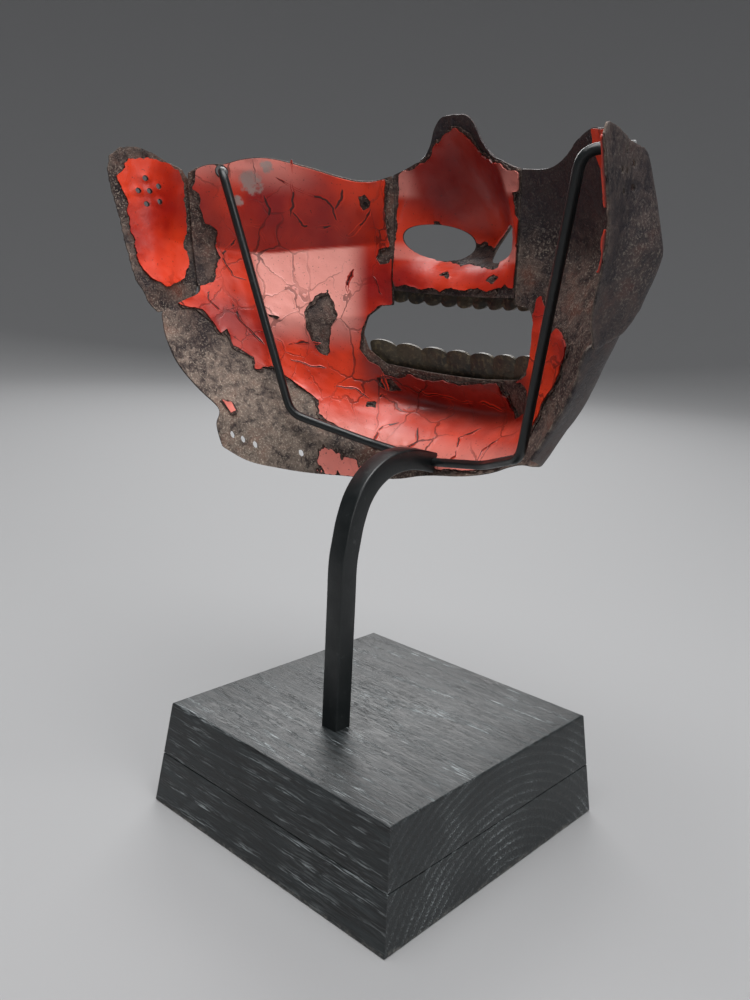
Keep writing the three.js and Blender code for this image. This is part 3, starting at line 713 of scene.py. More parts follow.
def cheekIron():
    piece, angle, girth, depth, onInner = cutSheet(
        "cheekIron", (-77, 85), (-20, 122), 1.05, shellDepth, ironInner, ironOuter
    )
    # darker and smoother high on the right cheek, paler along the jaw, and paler along the right half's
    # edges and the flange's bend, a painted highlight on the rolled rim
    dark = smooth(82, 104, girth) * (angle < 0) * onInner + (1 - onInner) * 0.7
    jaw = smooth(52, 20, girth) * smooth(20, 45, angle) * onInner
    giveAttribute(piece, "dark", np.clip(dark, 0, 1))
    giveAttribute(piece, "pale", np.clip(jaw + np.exp(-depth / 0.9) * 0.8 * (angle < 0), 0, 1))
    dress(piece, bareIron, ["face_shell"])


def noseIron():
    piece, angle, girth, depth, onInner = cutSheet(
        "noseIron", (-17, 17), (72, 131), 0.55, noseDepth, ironInner, ironOuter
    )
    giveAttribute(piece, "dark", np.clip(0.5 + 0.5 * smooth(108, 122, girth), 0, 1))
    giveAttribute(piece, "pale", np.exp(-depth / 0.5) * 0.4)
    dress(piece, bareIron, ["nose_plate"])


# How far an ear plate stands outside the sheet: enough to pass behind the cheek's rear edge, dying away
# behind it.
def earRise(angle, girth):
    rear = np.where(
        angle < 0, alongTable(faceEdges["rear"], 2, girth), alongTable(faceEdges["rear"], 1, girth)
    )
    behind = (np.abs(angle) - rear) * faceEdges["degreeWidth"]
    return earTuck["depth"] * (1 - smooth(0.5, earTuck["reach"], behind))


def onEar(angle, girth, offset):
    return onFace(angle, girth, offset + earRise(angle, girth))


def earPlate(name, outline, sign, node):
    holes = [(sign * angle, girth) for angle, girth in earHoles]

    def depthOf(angle, girth):
        depth = insideOf(outline, angle, girth) + 0.25 * roughness(angle * 0.8, girth * 0.6, 9)
        return np.minimum(depth, outsideHoles(holes, 1.05, angle, girth))

    angles = (62, 89) if sign > 0 else (-89, -62)
    piece, angle, girth, depth, onInner = cutSheet(
        name, angles, (39, 119), 0.55, depthOf, ironInner, ironOuter, onEar
    )
    giveAttribute(piece, "dark", (1 - onInner) * 0.7)
    giveAttribute(piece, "pale", np.exp(-np.clip(depth, 0, None) / 0.7) * 0.5)
    dress(piece, earIron, [node])


cheekIron()
noseIron()
earPlate("leftEarIron", leftEarOutline, 1, "left_ear_plate")
earPlate("rightEarIron", rightEarOutline, -1, "right_ear_plate")
print("iron sheets cut")


# Where the red lacquer still lies on cheeks, jaw and chin, and where it has flaked off inside that.
cheekLacquerOutline = [
    (15.8, 66), (15.8, 72), (16.3, 84), (17.8, 91), (18.4, 102), (18.4, 114), (30, 116), (40, 119),
    (48, 120), (57, 117.5), (62.5, 114), (64.3, 103.8), (62.8, 101.8), (63, 97), (61.3, 90.8),
    (58.5, 88), (59.3, 82), (58.5, 76.8), (60, 70), (61.5, 63.5), (65, 60.5), (68, 59.5), (72, 56),
    (76.3, 51.8), (79.5, 49), (78, 47), (71.8, 48), (67, 49.5), (66.3, 46.5), (64, 40.5), (62, 42.8),
    (61.3, 35.5), (56.3, 33), (57, 27.2), (51.8, 30.8), (48.5, 28.5), (44, 24.2), (39.5, 20.2),
    (39.8, 13.2), (37.3, 11.5), (29.8, 8.5), (19.8, 5.2), (12.5, 4.2), (5, 2.8), (-3, 2.2), (-9, 3),
    (-15, 4.4), (-21, 6.4), (-26, 9), (-29, 11.5), (-30.2, 20), (-30, 28.5), (-31.5, 36.8),
    (-34.8, 43.2), (-36.5, 48.8), (-37.2, 53.2), (-37.5, 56.8), (-35, 60), (-31.5, 63),
    (-29, 58), (-28, 52), (-27.4, 46), (-26.3, 50), (-26.2, 58.2), (-26, 62.8), (-24.8, 70),
    (-23.2, 74.5), (-22.2, 71.8), (-22.5, 67), (-23.2, 60), (-23.4, 48.5), (-19, 44.2), (-13, 44.6),
    (-6, 43.6), (-1, 42.4), (4, 43.4), (9, 42), (14, 43.4), (17.5, 40.6), (20.5, 41), (21.6, 44.5),
    (24.2, 45.5), (26.3, 50), (24.9, 56), (23.2, 62.6), (20, 66.6),
]
barePatches = [
    [(32.8, 70), (31.5, 65.8), (30.8, 61.2), (32.3, 57.2), (33.6, 52), (34.3, 46.5), (35.2, 44.2),
     (37.5, 44.8), (39, 48.8), (39.8, 53.8), (39.5, 58.8), (37.5, 64), (35, 68.5)],
    [(-12.2, 45.8), (-15.5, 46), (-21.5, 46), (-24.5, 43), (-23.8, 32.5), (-17.2, 29.2),
     (-15.2, 34.8), (-15.2, 39.2), (-14, 39.5)],
    [(25.2, 105.4), (23.6, 106), (22.4, 104), (22.6, 101.6), (23.9, 100.6), (25, 102)],
    [(20.5, 88.5), (18, 89), (16.5, 87), (16.8, 83), (20, 82), (21, 84.5)],
    [(49.8, 55.8), (47.6, 55.2), (46.2, 55), (47.4, 54.2), (49, 54.4)],
    [(26.6, 26.4), (24.4, 26.6), (24, 23.6), (26.2, 23.2)],
    [(22.8, 39), (19, 40.4), (18, 35), (21, 33.4), (23.4, 35.4)],
]
rightStrips = [
    [(-46, 119), (-44, 121), (-41, 122), (-39.5, 119), (-40.5, 114), (-42.5, 108), (-44.5, 106)],
    [(-44.5, 103), (-43, 104), (-42.6, 97), (-44, 95)],
    [(-43.4, 84), (-41.8, 84), (-42.2, 77), (-43.2, 70), (-45, 70), (-44.6, 77)],
]
flangeRemnant = [
    (40.2, -6), (38.4, -2.6), (35, -1.8), (32, -3.4), (29, -2.6), (25.5, -4.6), (22.4, -4), (22, -7),
    (27, -9), (34, -11), (40.5, -11.6),
]
jawChip = [(72.8, 3.4), (69.2, 4.2), (68.6, 1), (70.6, -0.4)]


def ragged(depth, angle, girth, seed, amount=0.7):
    return depth + amount * roughness(angle * 0.45, girth * 0.3, seed, 4)


def cheekLacquerDepth(angle, girth):
    depth = insideOf(cheekLacquerOutline, angle, girth)
    for patch in barePatches:
        depth = np.minimum(depth, -insideOf(patch, angle, girth))
    for strip in rightStrips + [jawChip]:
        depth = np.maximum(depth, insideOf(strip, angle, girth))
    depth = ragged(depth, angle, girth, 21)
    flange = insideOf(flangeRemnant, angle, girth) + 2.2 * roughness(angle * 0.8, girth * 0.5, 31, 4)
    depth = np.maximum(depth, flange - 0.3)
    return np.minimum(depth, shellDepth(angle, girth) - 0.25)


# The skin's own swell, and its broken edges curling up off the iron.
def lacquerFace(angle, girth, depth):
    lifted = smooth(-0.2, 0.5, roughness(angle * 0.2, girth * 0.14, 41, 2))
    curl = 0.35 * np.exp(-np.clip(depth, 0, None) / 1.1) * lifted
    return -curl + 0.1 * roughness(angle * 0.3, girth * 0.2, 43, 2)


def lacquerBack(angle, girth, depth):
    return np.full_like(angle, 0.62)


def groundFace(angle, girth, depth):
    return 0.3 + 0.22 * roughness(angle * 1.3, girth * 0.9, 51, 3)


def groundBack(angle, girth, depth):
    return np.full_like(angle, 1.2)


scuffPlaces = [(50, 108, 6), (46, 114, 3.5), (53.5, 101, 3), (57, 113, 2)]


# Point attributes for the lacquer: real scuffs, its edge walls, and the painted sheen and painted shade
# masks.
def lacquerMarksAndPaintedLight(piece, angle, girth, depth, onInner, paintedSheenOf=None, paintedShadeOf=None):
    scuff = np.zeros_like(angle)
    for scuffAngle, scuffGirth, reach in scuffPlaces:
        away = np.hypot((angle - scuffAngle) * faceEdges["degreeWidth"], girth - scuffGirth)
        scuff = np.maximum(scuff, 1 - smooth(reach * 0.3, reach * 1.4, away))
    giveAttribute(piece, "scuff", scuff)
    giveAttribute(piece, "edge", 1 - onInner)
    # painted sheen and painted shade, carried as point attributes
    giveAttribute(piece, "paintedSheen", paintedSheenOf(angle, girth) if paintedSheenOf else np.zeros_like(angle))
    giveAttribute(piece, "deep", paintedShadeOf(angle, girth) if paintedShadeOf else np.zeros_like(angle))


# Painted sheen: pale pink in the dish under the cheekbone, along the upper cheek and on the chin's floor,
# where the lacquer faces up to the overhead light.
def cheekPaintedSheen(angle, girth):
    bone = alongTable(faceForm["cheekbone"], 1, np.abs(angle))
    dish = smooth(0.3, -0.8, girth - bone) * smooth(22, 29, angle) * (1 - smooth(49.5, 52.5, angle))
    dish = dish * smooth(44, 62, girth + 0.3 * (angle - 36))
    brow = smooth(103, 114, girth) * smooth(30, 44, angle) * 0.6
    floor = smooth(24, 8, girth) * 0.55
    return np.clip(np.maximum(np.maximum(dish * 0.9, brow), floor), 0, 1)


# Painted shade: the lacquer darkened to deep red on the chin's upright wall and under the cheekbone's
# crease.
def cheekPaintedShade(angle, girth):
    chin = smooth(24, 31, girth) * (1 - smooth(46, 52, girth)) * (1 - smooth(20, 32, np.abs(angle)))
    bone = alongTable(faceForm["cheekbone"], 1, np.abs(angle))
    overBone = smooth(-0.5, 1.5, girth - bone) * (1 - smooth(8, 22, girth - bone)) * 0.45
    return np.clip(np.maximum(chin * 0.85, overBone), 0, 1)


# Painted shade darkens the nose's bridge, and a painted sheen pales its two lower horns.
def nosePaintedShade(angle, girth):
    return 0.75 * smooth(96, 108, girth)


def nosePaintedSheen(angle, girth):
    horns = smooth(10, 13, np.abs(angle)) * smooth(104, 107, girth)
    return 0.45 * np.maximum(horns, (1 - smooth(88, 92, girth)) * smooth(84, 86, girth))


def cheekLacquer():
    angles, girths = (-48, 81), (-14, 121)

    def groundDepth(angle, girth):
        depth = cheekLacquerDepth(angle, girth) + 0.9
        depth = depth + 0.9 * roughness(angle * 0.7, girth * 0.45, 23, 4)
        return np.minimum(depth, shellDepth(angle, girth) - 0.2)

    ground = cutSheet(
        "cheekGround", angles, girths, 1.0, groundDepth, groundFace, groundBack
    )[0]
    dress(ground, groundBrown)
    skin, angle, girth, depth, onInner = cutSheet(
        "cheekLacquer", angles, girths, 0.72, cheekLacquerDepth, lacquerFace, lacquerBack
    )
    lacquerMarksAndPaintedLight(skin, angle, girth, depth, onInner, cheekPaintedSheen, cheekPaintedShade)
    dress(skin, cheekRed)


noseLacquerOutline = [
    (14.5, 112.5), (11, 114.6), (8, 116.2), (5.8, 121), (2.4, 125), (0.2, 126), (-2, 124.6),
    (-3.6, 121.8), (-5.5, 118), (-10.5, 114.6), (-15.2, 112), (-17, 109), (-17, 106.8), (-14.4, 106),
    (-15.4, 100), (-16.2, 92), (-16.4, 84), (-16.2, 77), (-13.6, 77.4), (-11, 76), (-8.4, 75.4),
    (-5, 76.4), (-2, 75.8), (1, 76.6), (4, 74.6), (6, 76.2), (9, 75.2), (12, 76), (15.6, 75),
    (16, 83), (15.4, 91), (15, 103), (14.6, 108),
]
noseBare = [
    [(8.4, 85), (2, 84.4), (-3, 84), (-7, 82.6), (-9.8, 83.4), (-8, 88), (-3.6, 90), (1, 92.4),
     (4.6, 91.4), (6.4, 87.2)],
    [(-12, 80.4), (-9, 81.6), (-7.4, 79.4), (-10, 78.4)],
    [(5.4, 80.6), (3.6, 81.8), (2.6, 79.6)],
    [(10.4, 98.6), (9, 99.2), (8.6, 97), (10, 96.8)],
    [(6.8, 126), (2.6, 131), (-4, 131), (-5.6, 123), (-3.4, 122.4), (-1.8, 125), (0.6, 126.2),
     (2.6, 125.2), (4.6, 121.6)],
]


def noseLacquer():
    def skinDepth(angle, girth):
        depth = insideOf(noseLacquerOutline, angle, girth)
        for patch in noseBare:
            depth = np.minimum(depth, -insideOf(patch, angle, girth))
        depth = ragged(depth, angle, girth, 61, 0.8)
        return np.minimum(depth, noseDepth(angle, girth) - 0.2)

    def groundDepth(angle, girth):
        depth = skinDepth(angle, girth) + 0.8 + 0.8 * roughness(angle * 0.9, girth * 0.6, 63, 4)
        return np.minimum(depth, noseDepth(angle, girth) - 0.15)

    ground = cutSheet(
        "noseGround", (-17, 17), (73, 130), 0.7, groundDepth, groundFace, groundBack
    )[0]
    dress(ground, groundBrown)
    skin, angle, girth, depth, onInner = cutSheet(
        "noseLacquer", (-17, 17), (73, 130), 0.45, skinDepth, lacquerFace, lacquerBack
    )
    lacquerMarksAndPaintedLight(skin, angle, girth, depth, onInner, nosePaintedSheen, nosePaintedShade)
    dress(skin, noseRed)


leftEarPanel = [
    (83.8, 104), (81.8, 108), (80.3, 111.5), (76.3, 112.5), (73, 113.2), (69.5, 111.8), (66.8, 109),
    (66, 102.5), (65.5, 88.8), (66, 72), (68.3, 63.5), (72.5, 58), (75.5, 55.8), (79.5, 55.8),
    (81.3, 59), (81.3, 69.8), (81.5, 80.8), (81.8, 92), (83, 98.5),
]
rightEarStrips = [
    [(-85.6, 106), (-86.6, 104), (-85, 96), (-82.6, 88), (-81, 88), (-83, 97)],
    [(-81, 82), (-82, 80), (-79.6, 68), (-78.4, 68), (-79.4, 76)],
]


def earLacquer(name, panels, sign):
    holes = [(sign * angle, girth) for angle, girth in earHoles]
    outline = leftEarOutline if sign > 0 else rightEarOutline

    def skinDepth(angle, girth):
        depth = np.max([insideOf(panel, angle, girth) for panel in panels], axis=0)
        depth = ragged(depth, angle, girth, 71 + sign, 0.9)
        depth = np.minimum(depth, insideOf(outline, angle, girth) - 0.3)
        return np.minimum(depth, outsideHoles(holes, 1.2, angle, girth))

    angles = (64, 88) if sign > 0 else (-88, -64)
    skin, angle, girth, depth, onInner = cutSheet(
        name, angles, (50, 116), 0.5, skinDepth, lacquerFace, lacquerBack, onEar
    )
    lacquerMarksAndPaintedLight(skin, angle, girth, depth, onInner)
    dress(skin, earRed)


cheekLacquer()
noseLacquer()
earLacquer("leftEarLacquer", [leftEarPanel], 1)
earLacquer("rightEarLacquer", rightEarStrips, -1)
print("lacquer laid")


# Main cracks of the cheek, by angle and girth. Each is carried along the sheet as a low ridge: two
# lifted lips of lacquer with a dark slot between them.
mainCracks = [
    [(39.8, 116.8), (39.8, 113.5), (40.5, 109.5), (40.2, 105.8), (40.5, 101.2), (41.4, 97)],
    [(44.2, 110.5), (40.5, 107.5), (36.2, 105.2), (32.5, 104), (31, 101.2), (31.2, 99.2), (30, 95),
     (30, 92), (28.5, 90.5)],
    [(28.5, 90.5), (24.2, 96.8), (21.8, 101)],
    [(28.4, 108.8), (29.2, 104.6), (31.2, 99.6)],
    [(52.8, 96), (51.5, 92.2), (48.8, 92.2), (46.6, 95.6), (46, 99), (47.2, 104)],
    [(48.8, 92.2), (46, 82.8)],
    [(41, 99), (39, 95.4), (38.5, 94), (34.8, 94.2), (31, 94.8), (30, 92)],
    [(39, 92.5), (41.8, 84)],
    [(36.4, 100), (36.6, 95)],
    [(54.2, 86.2), (58, 77.5), (56.2, 69), (53, 68)],
    [(63.5, 59.2), (64.2, 54.8), (62, 50.8), (54.5, 56.8)],
    [(58.2, 58), (57.4, 49), (52.4, 41)],
    [(45.5, 44.6), (41, 47.6), (36.4, 48.6)],
    [(46, 37.6), (39, 37.4), (36, 38.8)],
    [(34, 30), (29, 31.6), (25.6, 27.6)],
    [(21, 42), (21.6, 33), (24, 28)],
    [(14, 38), (12, 34.6), (6, 36), (1, 34), (-6, 35.4), (-12, 32)],
    [(6, 36), (5, 30), (9, 25.4)],
    [(22, 6.5), (21, 14), (17, 18.6)],
    [(12, 5), (9, 12), (11, 18)],
    [(-4, 3.6), (-6, 10), (-3, 17), (-7, 22.6)],
    [(-16, 6), (-14, 13), (-17, 19)],
    [(26.8, 80), (28.4, 72), (26.4, 66)],
    [(21.4, 78), (19.4, 72), (18.4, 67.4)],
]
crackForm = {"step": 0.8, "lip": 0.16, "slot": 0.3, "skirt": 0.95, "wander": 0.45}


def crackRidges():
    f = crackForm
    # across the ridge: distance from the crack, and height over the lacquer
    profile = np.array([
        (-f["skirt"], -0.03), (-f["slot"] * 1.7, f["lip"]), (-f["slot"], 0.04),
        (f["slot"], 0.04), (f["slot"] * 1.7, f["lip"]), (f["skirt"], -0.03), (0, -0.25),
    ])
    sides, width = len(profile), faceEdges["degreeWidth"]
    points, triangles, slots = [], [], []
    first = 0
    for number, crack in enumerate(mainCracks):
        corners = np.array(crack, float)
        lengths = np.hypot(np.diff(corners[:, 0]) * width, np.diff(corners[:, 1]))
        reach = np.concatenate([[0], np.cumsum(lengths)])
        count = max(4, int(reach[-1] / f["step"]))
        s = np.linspace(0, reach[-1], count)
        angle, girth = np.interp(s, reach, corners[:, 0]), np.interp(s, reach, corners[:, 1])
        offCourse = f["wander"] * roughness(s * 0.5, s * 0 + number * 3.7, 81, 3)
        alongA, alongG = np.gradient(angle) * width, np.gradient(girth)
        size = np.hypot(alongA, alongG)
        acrossA, acrossG = -alongG / size, alongA / size
        taper = smooth(0, 2.5, s) * smooth(0, 2.5, reach[-1] - s)
        taper = 0.25 + 0.75 * taper * (0.75 + 0.5 * roughness(s * 0.3, s * 0 + number, 83, 2))
        offset = offCourse[:, None] + profile[None, :, 0] * taper[:, None]
        a = angle[:, None] + acrossA[:, None] * offset / width
        g = girth[:, None] + acrossG[:, None] * offset
        height = profile[None, :, 1] * np.where(profile[None, :, 1] > 0, taper[:, None], 1)
        points.append(onFace(a, g, -height).reshape(-1, 3))
        k, c = np.meshgrid(np.arange(count - 1), np.arange(sides), indexing="ij")
        here, along = first + k * sides + c, first + (k + 1) * sides + c
        around = first + k * sides + (c + 1) % sides
        corner = first + (k + 1) * sides + (c + 1) % sides
        quads = np.stack([here, around, corner, here, corner, along], axis=-1).reshape(-1, 3)
        caps = np.arange(1, sides - 1)
        start = np.stack([caps * 0, caps + 1, caps], axis=1) + first
        end = np.stack([caps * 0, caps, caps + 1], axis=1) + first + (count - 1) * sides
        triangles += [quads, start, end]
        slots.append(np.tile([0.0, 0.0, 1.0, 1.0, 0.0, 0.0, 0.0], count))
        first += count * sides
    piece = newPiece("cheekCracks", np.concatenate(points) * mm, np.concatenate(triangles), 60)
    slots = np.concatenate(slots)
    # the slots are darkened in the lacquer as grime with a painted shadow of the gap
    giveAttribute(piece, "edge", slots)
    giveAttribute(piece, "scuff", slots * 0)
    giveAttribute(piece, "paintedSheen", slots * 0)
    giveAttribute(piece, "deep", slots * 0)
    dress(piece, cheekRed)


crackRidges()
print("cracks opened")


teethForm = {
    "lower": {"from": -23, "to": 24, "root": 41, "tip": 54.4, "count": 7},
    "upper": {"from": -19.6, "to": 17.6, "root": 77, "tip": 69, "count": 9},
    "innerOffset": 2.6,
    "thickness": 1.5,
    "rise": 2.0,
}


# A strip behind the lips. Its free edge and its swell follow the root of a sine, tooth by tooth.
def teethStrip(name, form, node):
    f = teethForm
    direction = 1 if form["tip"] > form["root"] else -1

    def share(angle):
        return (angle - form["from"]) / (form["to"] - form["from"])

    def toothRound(angle):
        return np.sqrt(np.abs(np.sin(np.pi * np.clip(share(angle), 0, 1) * form["count"])))

    def depthOf(angle, girth):
        tip = form["tip"] + direction * f["rise"] * (toothRound(angle) - 1)
        ends = np.minimum(angle - form["from"], form["to"] - angle) * faceEdges["degreeWidth"]
        return np.minimum(np.minimum(direction * (tip - girth), direction * (girth - form["root"])), ends)

    def swell(angle, girth):
        return toothRound(angle) * 0.9 * smooth(form["root"], form["tip"], girth)

    def innerOf(angle, girth, depth):
        return f["innerOffset"] + 0.9 - swell(angle, girth) + 0.12 * roughness(angle * 0.8, girth * 0.5, 91)

    def outerOf(angle, girth, depth):
        return f["innerOffset"] + f["thickness"] + 0.2 * toothRound(angle)

    piece, angle, girth, depth, onInner = cutSheet(
        name, (form["from"] - 1, form["to"] + 1), (39, 80), 0.5, depthOf, innerOf, outerOf
    )
    dress(piece, toothDark, [node])


teethStrip("lowerTeeth", teethForm["lower"], "lower_teeth")
teethStrip("upperTeeth", teethForm["upper"], "upper_teeth")
print("teeth set")


# A profile carried along a path: at each point it stands square to the path, with its first direction
# kept as near as can be to a given one. The profile is closed and so are the ends.
def carried(path, profile, keep):
    path, profile = np.asarray(path, float), np.asarray(profile, float)
    along = np.gradient(path, axis=0)
    along /= np.linalg.norm(along, axis=1, keepdims=True)
    first = np.asarray(keep, float) - along * (along @ np.asarray(keep, float))[:, None]
    first /= np.linalg.norm(first, axis=1, keepdims=True)
    second = np.cross(along, first)
    rings = path[:, None] + first[:, None] * profile[None, :, :1] + second[:, None] * profile[None, :, 1:]
    count, sides = rings.shape[:2]
    k, c = np.meshgrid(np.arange(count - 1), np.arange(sides), indexing="ij")
    here, around = k * sides + c, k * sides + (c + 1) % sides
    corner, ahead = around + sides, here + sides
    quads = np.stack([here, around, corner, here, corner, ahead], axis=-1).reshape(-1, 3)
    caps = np.arange(1, sides - 1)
    start = np.stack([caps * 0, caps + 1, caps], axis=1)
    end = np.stack([caps * 0, caps, caps + 1], axis=1) + (count - 1) * sides
    return rings.reshape(-1, 3), np.concatenate([quads, start, end])


# A path through corners, each rounded by a quadratic arc of the given reach.
def roundedPath(corners, reach, steps=8):
    corners = np.asarray(corners, float)
    t = np.linspace(0, 1, steps)[:, None]
    pieces = [corners[:1]]
    for before, corner, after in zip(corners, corners[1:], corners[2:]):
        start = corner + (before - corner) / np.linalg.norm(before - corner) * reach
        end = corner + (after - corner) / np.linalg.norm(after - corner) * reach
        pieces.append((1 - t) ** 2 * start + 2 * t * (1 - t) * corner + t**2 * end)
    pieces.append(corners[-1:])
    return np.concatenate(pieces)


def spaced(path, step):
    path = np.asarray(path, float)
    reach = np.concatenate([[0], np.cumsum(np.linalg.norm(np.diff(path, axis=0), axis=1))])
    s = np.linspace(0, reach[-1], int(reach[-1] / step) + 2)
    return np.stack([np.interp(s, reach, path[:, k]) for k in range(3)], axis=1)


def roundedSquare(side, corner, steps=4):
    t = np.linspace(0, math.pi / 2, steps)
    arc = np.stack([np.cos(t), np.sin(t)], axis=1) * corner + side / 2 - corner
    turns = [np.array([[0, -1], [1, 0]]), np.array([[-1, 0], [0, -1]]), np.array([[0, 1], [-1, 0]])]
    return np.concatenate([arc] + [arc @ turn.T for turn in turns])


armForm = {
    "side": 7,
    "corner": 0.7,
    "x": 1.5,
    # y and z of the centre line
    "line": [
        (20.4, 24.4), (20.4, 50), (20.4, 80), (20.4, 94), (19.2, 102), (17.6, 109), (14.6, 116),
        (9.5, 121.6), (2.5, 125.2), (-6, 126.2), (-13, 125.4), (-19.3, 123.9),
    ],
}
wireForm = {
    "radius": 1.5,
    "sides": 14,
    "bend": 4.5,
    "half": [
        (0, -18.7, 124), (26, -13.4, 127.8), (49.6, 1.2, 135.6), (70.3, 17.2, 217.3), (80.3, 9.6, 218.3),
    ],
}


def standMetal():
    line = np.array(armForm["line"], float)
    t = np.arange(len(line))
    fine = np.linspace(0, len(line) - 1, 120)
    table = np.column_stack([t, line])
    path = np.column_stack([
        np.full(fine.size, armForm["x"]), alongTable(table, 1, fine), alongTable(table, 2, fine)
    ])
    points, triangles = carried(path, roundedSquare(armForm["side"], armForm["corner"]), (1, 0, 0))
    bar = newPiece("armBar", points * mm, triangles, 50)
    dress(bar, satinBlack, ["stand_bracket"])
    half = np.array(wireForm["half"], float)
    mirrored = half[1:][::-1] * (-1, 1, 1)
    wirePath = spaced(roundedPath(np.concatenate([mirrored, half]), wireForm["bend"]), 1.2)
    turn = np.linspace(0, 2 * math.pi, wireForm["sides"], endpoint=False)
    circle = np.stack([np.cos(turn), np.sin(turn)], axis=1)
    points, triangles = carried(wirePath, circle * wireForm["radius"], (0, 0.9, 0.44))
    wire = newPiece("cradleWire", points * mm, triangles, 60)
    dress(wire, satinBlack)


standMetal()
print("stand metal bent")


baseForm = {
    "topSide": 102, "bottomSide": 110.6, "height": 37.8, "glueLineZ": 18.6, "edge": 0.6, "glueEdge": 0.12,
}


# A board is a square section carried up, its edges rounded off; its side shrinks evenly with height.
def boardMesh(name, fromZ, toZ, node, cells=46):
    f = baseForm
    low = f["glueEdge"] if fromZ > 0 else f["edge"]
    high = f["edge"] if fromZ > 0 else f["glueEdge"]
    up, down = np.linspace(0, math.pi / 2, 4), np.linspace(math.pi / 2, 0, 4)
    levels = np.concatenate([
        fromZ + low * (1 - np.cos(up)),
        np.linspace(fromZ + low, toZ - high, 14)[1:-1],
        toZ - high * (1 - np.cos(down)),
    ])
    insets = np.concatenate([low * (1 - np.sin(up)), np.zeros(12), high * (1 - np.sin(down))])
    halves = (f["bottomSide"] + (f["topSide"] - f["bottomSide"]) * levels / f["height"]) / 2 - insets
    t = np.linspace(-1, 1, cells + 1)[:-1]
    one = np.ones_like(t)
    square = np.concatenate([
        np.stack([t, -one], axis=1), np.stack([one, t], axis=1),
        np.stack([-t, one], axis=1), np.stack([-one, -t], axis=1),
    ])
    ring = np.concatenate([square[None] * halves[:, None, None], np.broadcast_to(
        levels[:, None, None], (len(levels), len(square), 1))], axis=2)
    count, sides = ring.shape[:2]
    k, c = np.meshgrid(np.arange(count - 1), np.arange(sides), indexing="ij")
    here, around = k * sides + c, k * sides + (c + 1) % sides
    quads = np.stack([here, around, around + sides, here, around + sides, here + sides], axis=-1)
    points = ring.reshape(-1, 3)
    underside, face = len(points), len(points) + 1
    points = np.concatenate([points, [(0, 0, levels[0]), (0, 0, levels[-1])]])
    c = np.arange(sides)
    bottom = np.stack([np.full(sides, underside), (c + 1) % sides, c], axis=1)
    lastRing = (count - 1) * sides
    top = np.stack([np.full(sides, face), lastRing + c, lastRing + (c + 1) % sides], axis=1)
    triangles = np.concatenate([quads.reshape(-1, 3), bottom, top])
    piece = newPiece(name, points * mm, triangles, 50)
    worn = 1 - smooth(0.3, 1.6, points[:, 2]) if fromZ == 0 else points[:, 2] * 0
    giveAttribute(piece, "worn", worn)
    dress(piece, stainedAsh, [node])


boardMesh("upperBoard", baseForm["glueLineZ"] + 0.15, baseForm["height"], "base_upper_board")
boardMesh("lowerBoard", 0, baseForm["glueLineZ"] - 0.15, "base_lower_board")
print("base planed")


studio = {
    "cameraPlace": (-197.75, 224.91, 184.3),
    "heading": 222.39,  # degrees that the view turns from +Y about +Z
    "pitch": 13.42,
    "roll": 2.95,
    "focal": 33.4,
    "floorTone": fromScreen(152, 152, 153),
    "sweepFlat": 1.3,
    "sweepBend": 1.1,
    "sweepTop": 2.6,
}


def setCamera():
    camera = bpy.data.objects.new("camera", bpy.data.cameras.new("camera"))
    bpy.context.scene.collection.objects.link(camera)
    camera.data.sensor_fit = "VERTICAL"
    camera.data.sensor_height = 36
    camera.data.lens = studio["focal"]
    camera.data.clip_start = 0.01
    camera.location = [c * mm for c in studio["cameraPlace"]]
    look = Euler((math.radians(90 - studio["pitch"]), 0, math.radians(studio["heading"])), "XYZ")
    roll = Euler((0, 0, math.radians(studio["roll"])), "XYZ")
    camera.rotation_euler = (look.to_matrix() @ roll.to_matrix()).to_euler()
    bpy.context.scene.camera = camera


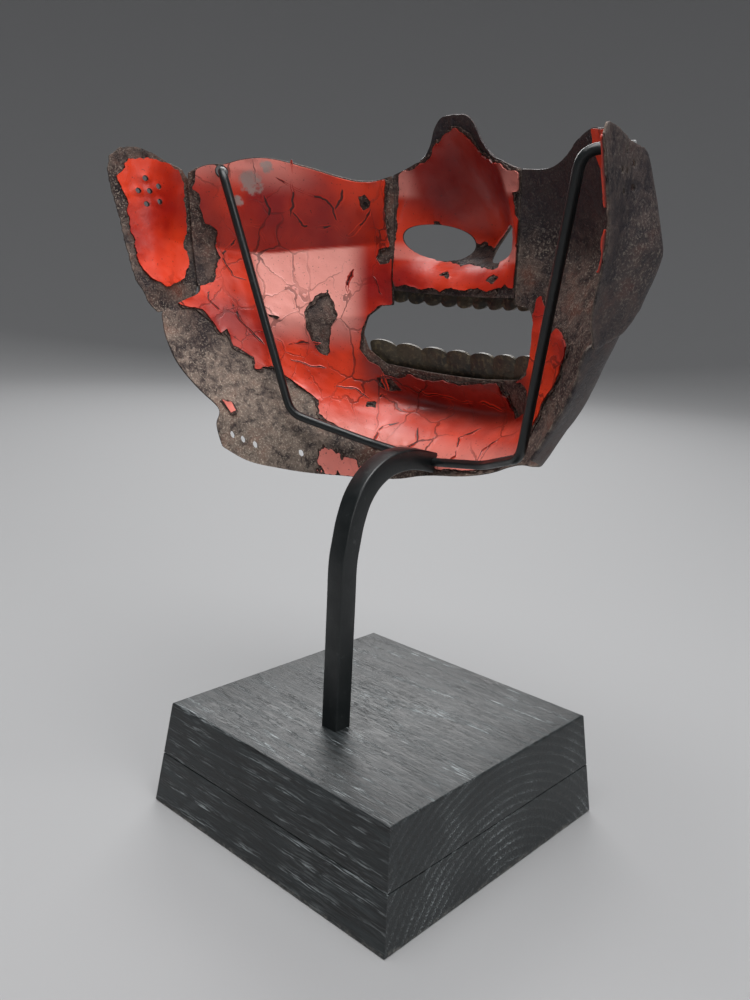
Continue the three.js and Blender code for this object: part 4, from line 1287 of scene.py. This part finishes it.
def areaLight(name, place, target, size, power, colour=(1, 1, 1)):
    light = bpy.data.lights.new(name, "AREA")
    light.shape = "RECTANGLE"
    light.size, light.size_y = size
    light.energy = power
    light.color = colour
    lamp = bpy.data.objects.new(name, light)
    lamp.location = place
    lamp.rotation_euler = (Vector(target) - Vector(place)).to_track_quat("-Z", "Y").to_euler()
    bpy.context.scene.collection.objects.link(lamp)


def setStage():
    # the floor turns up into a round wall: flat, then a quarter circle, then upright
    turn = np.linspace(0, math.pi / 2, 24)
    bend, flat = studio["sweepBend"], studio["sweepFlat"]
    radii = np.concatenate([[0.001, flat / 2], flat + bend * np.sin(turn), [flat + bend]])
    heights = np.concatenate([[0, 0], bend * (1 - np.cos(turn)), [studio["sweepTop"]]])
    around = np.linspace(0, 2 * math.pi, 96, endpoint=False)
    points = np.stack(np.broadcast_arrays(
        radii[:, None] * np.cos(around), radii[:, None] * np.sin(around), heights[:, None]
    ), axis=-1).reshape(-1, 3)
    k, c = np.meshgrid(np.arange(len(radii) - 1), np.arange(96), indexing="ij")
    here, beside = k * 96 + c, k * 96 + (c + 1) % 96
    quads = np.stack([here, here + 96, beside + 96, here, beside + 96, beside], axis=-1)
    floor = newPiece("floor", points, quads.reshape(-1, 3), 80)
    mesh = floor.data
    material, tree, shader, place = newMaterial("paleFloor")
    shader.inputs["Base Color"].default_value = studio["floorTone"]
    shader.inputs["Roughness"].default_value = 0.8
    mesh.materials.append(material)
    world = bpy.data.worlds.new("softRoom")
    bpy.context.scene.world = world
    world.use_nodes = True
    world.node_tree.nodes["Background"].inputs["Color"].default_value = (0.75, 0.77, 0.8, 1)
    world.node_tree.nodes["Background"].inputs["Strength"].default_value = 0.35
    bpy.context.scene.view_settings.view_transform = "Standard"
    areaLight("overhead", (-0.1, 0.15, 1.1), (0, 0, 0.15), (0.9, 0.9), 15)
    areaLight("farSoftbox", (0.75, -0.8, 0.75), (0, 0, 0.12), (0.9, 0.6), 9)
    areaLight("sideFill", (-0.9, 0.2, 0.5), (0, 0, 0.15), (0.5, 0.7), 3.5)


setCamera()
setStage()
print("studio lit")
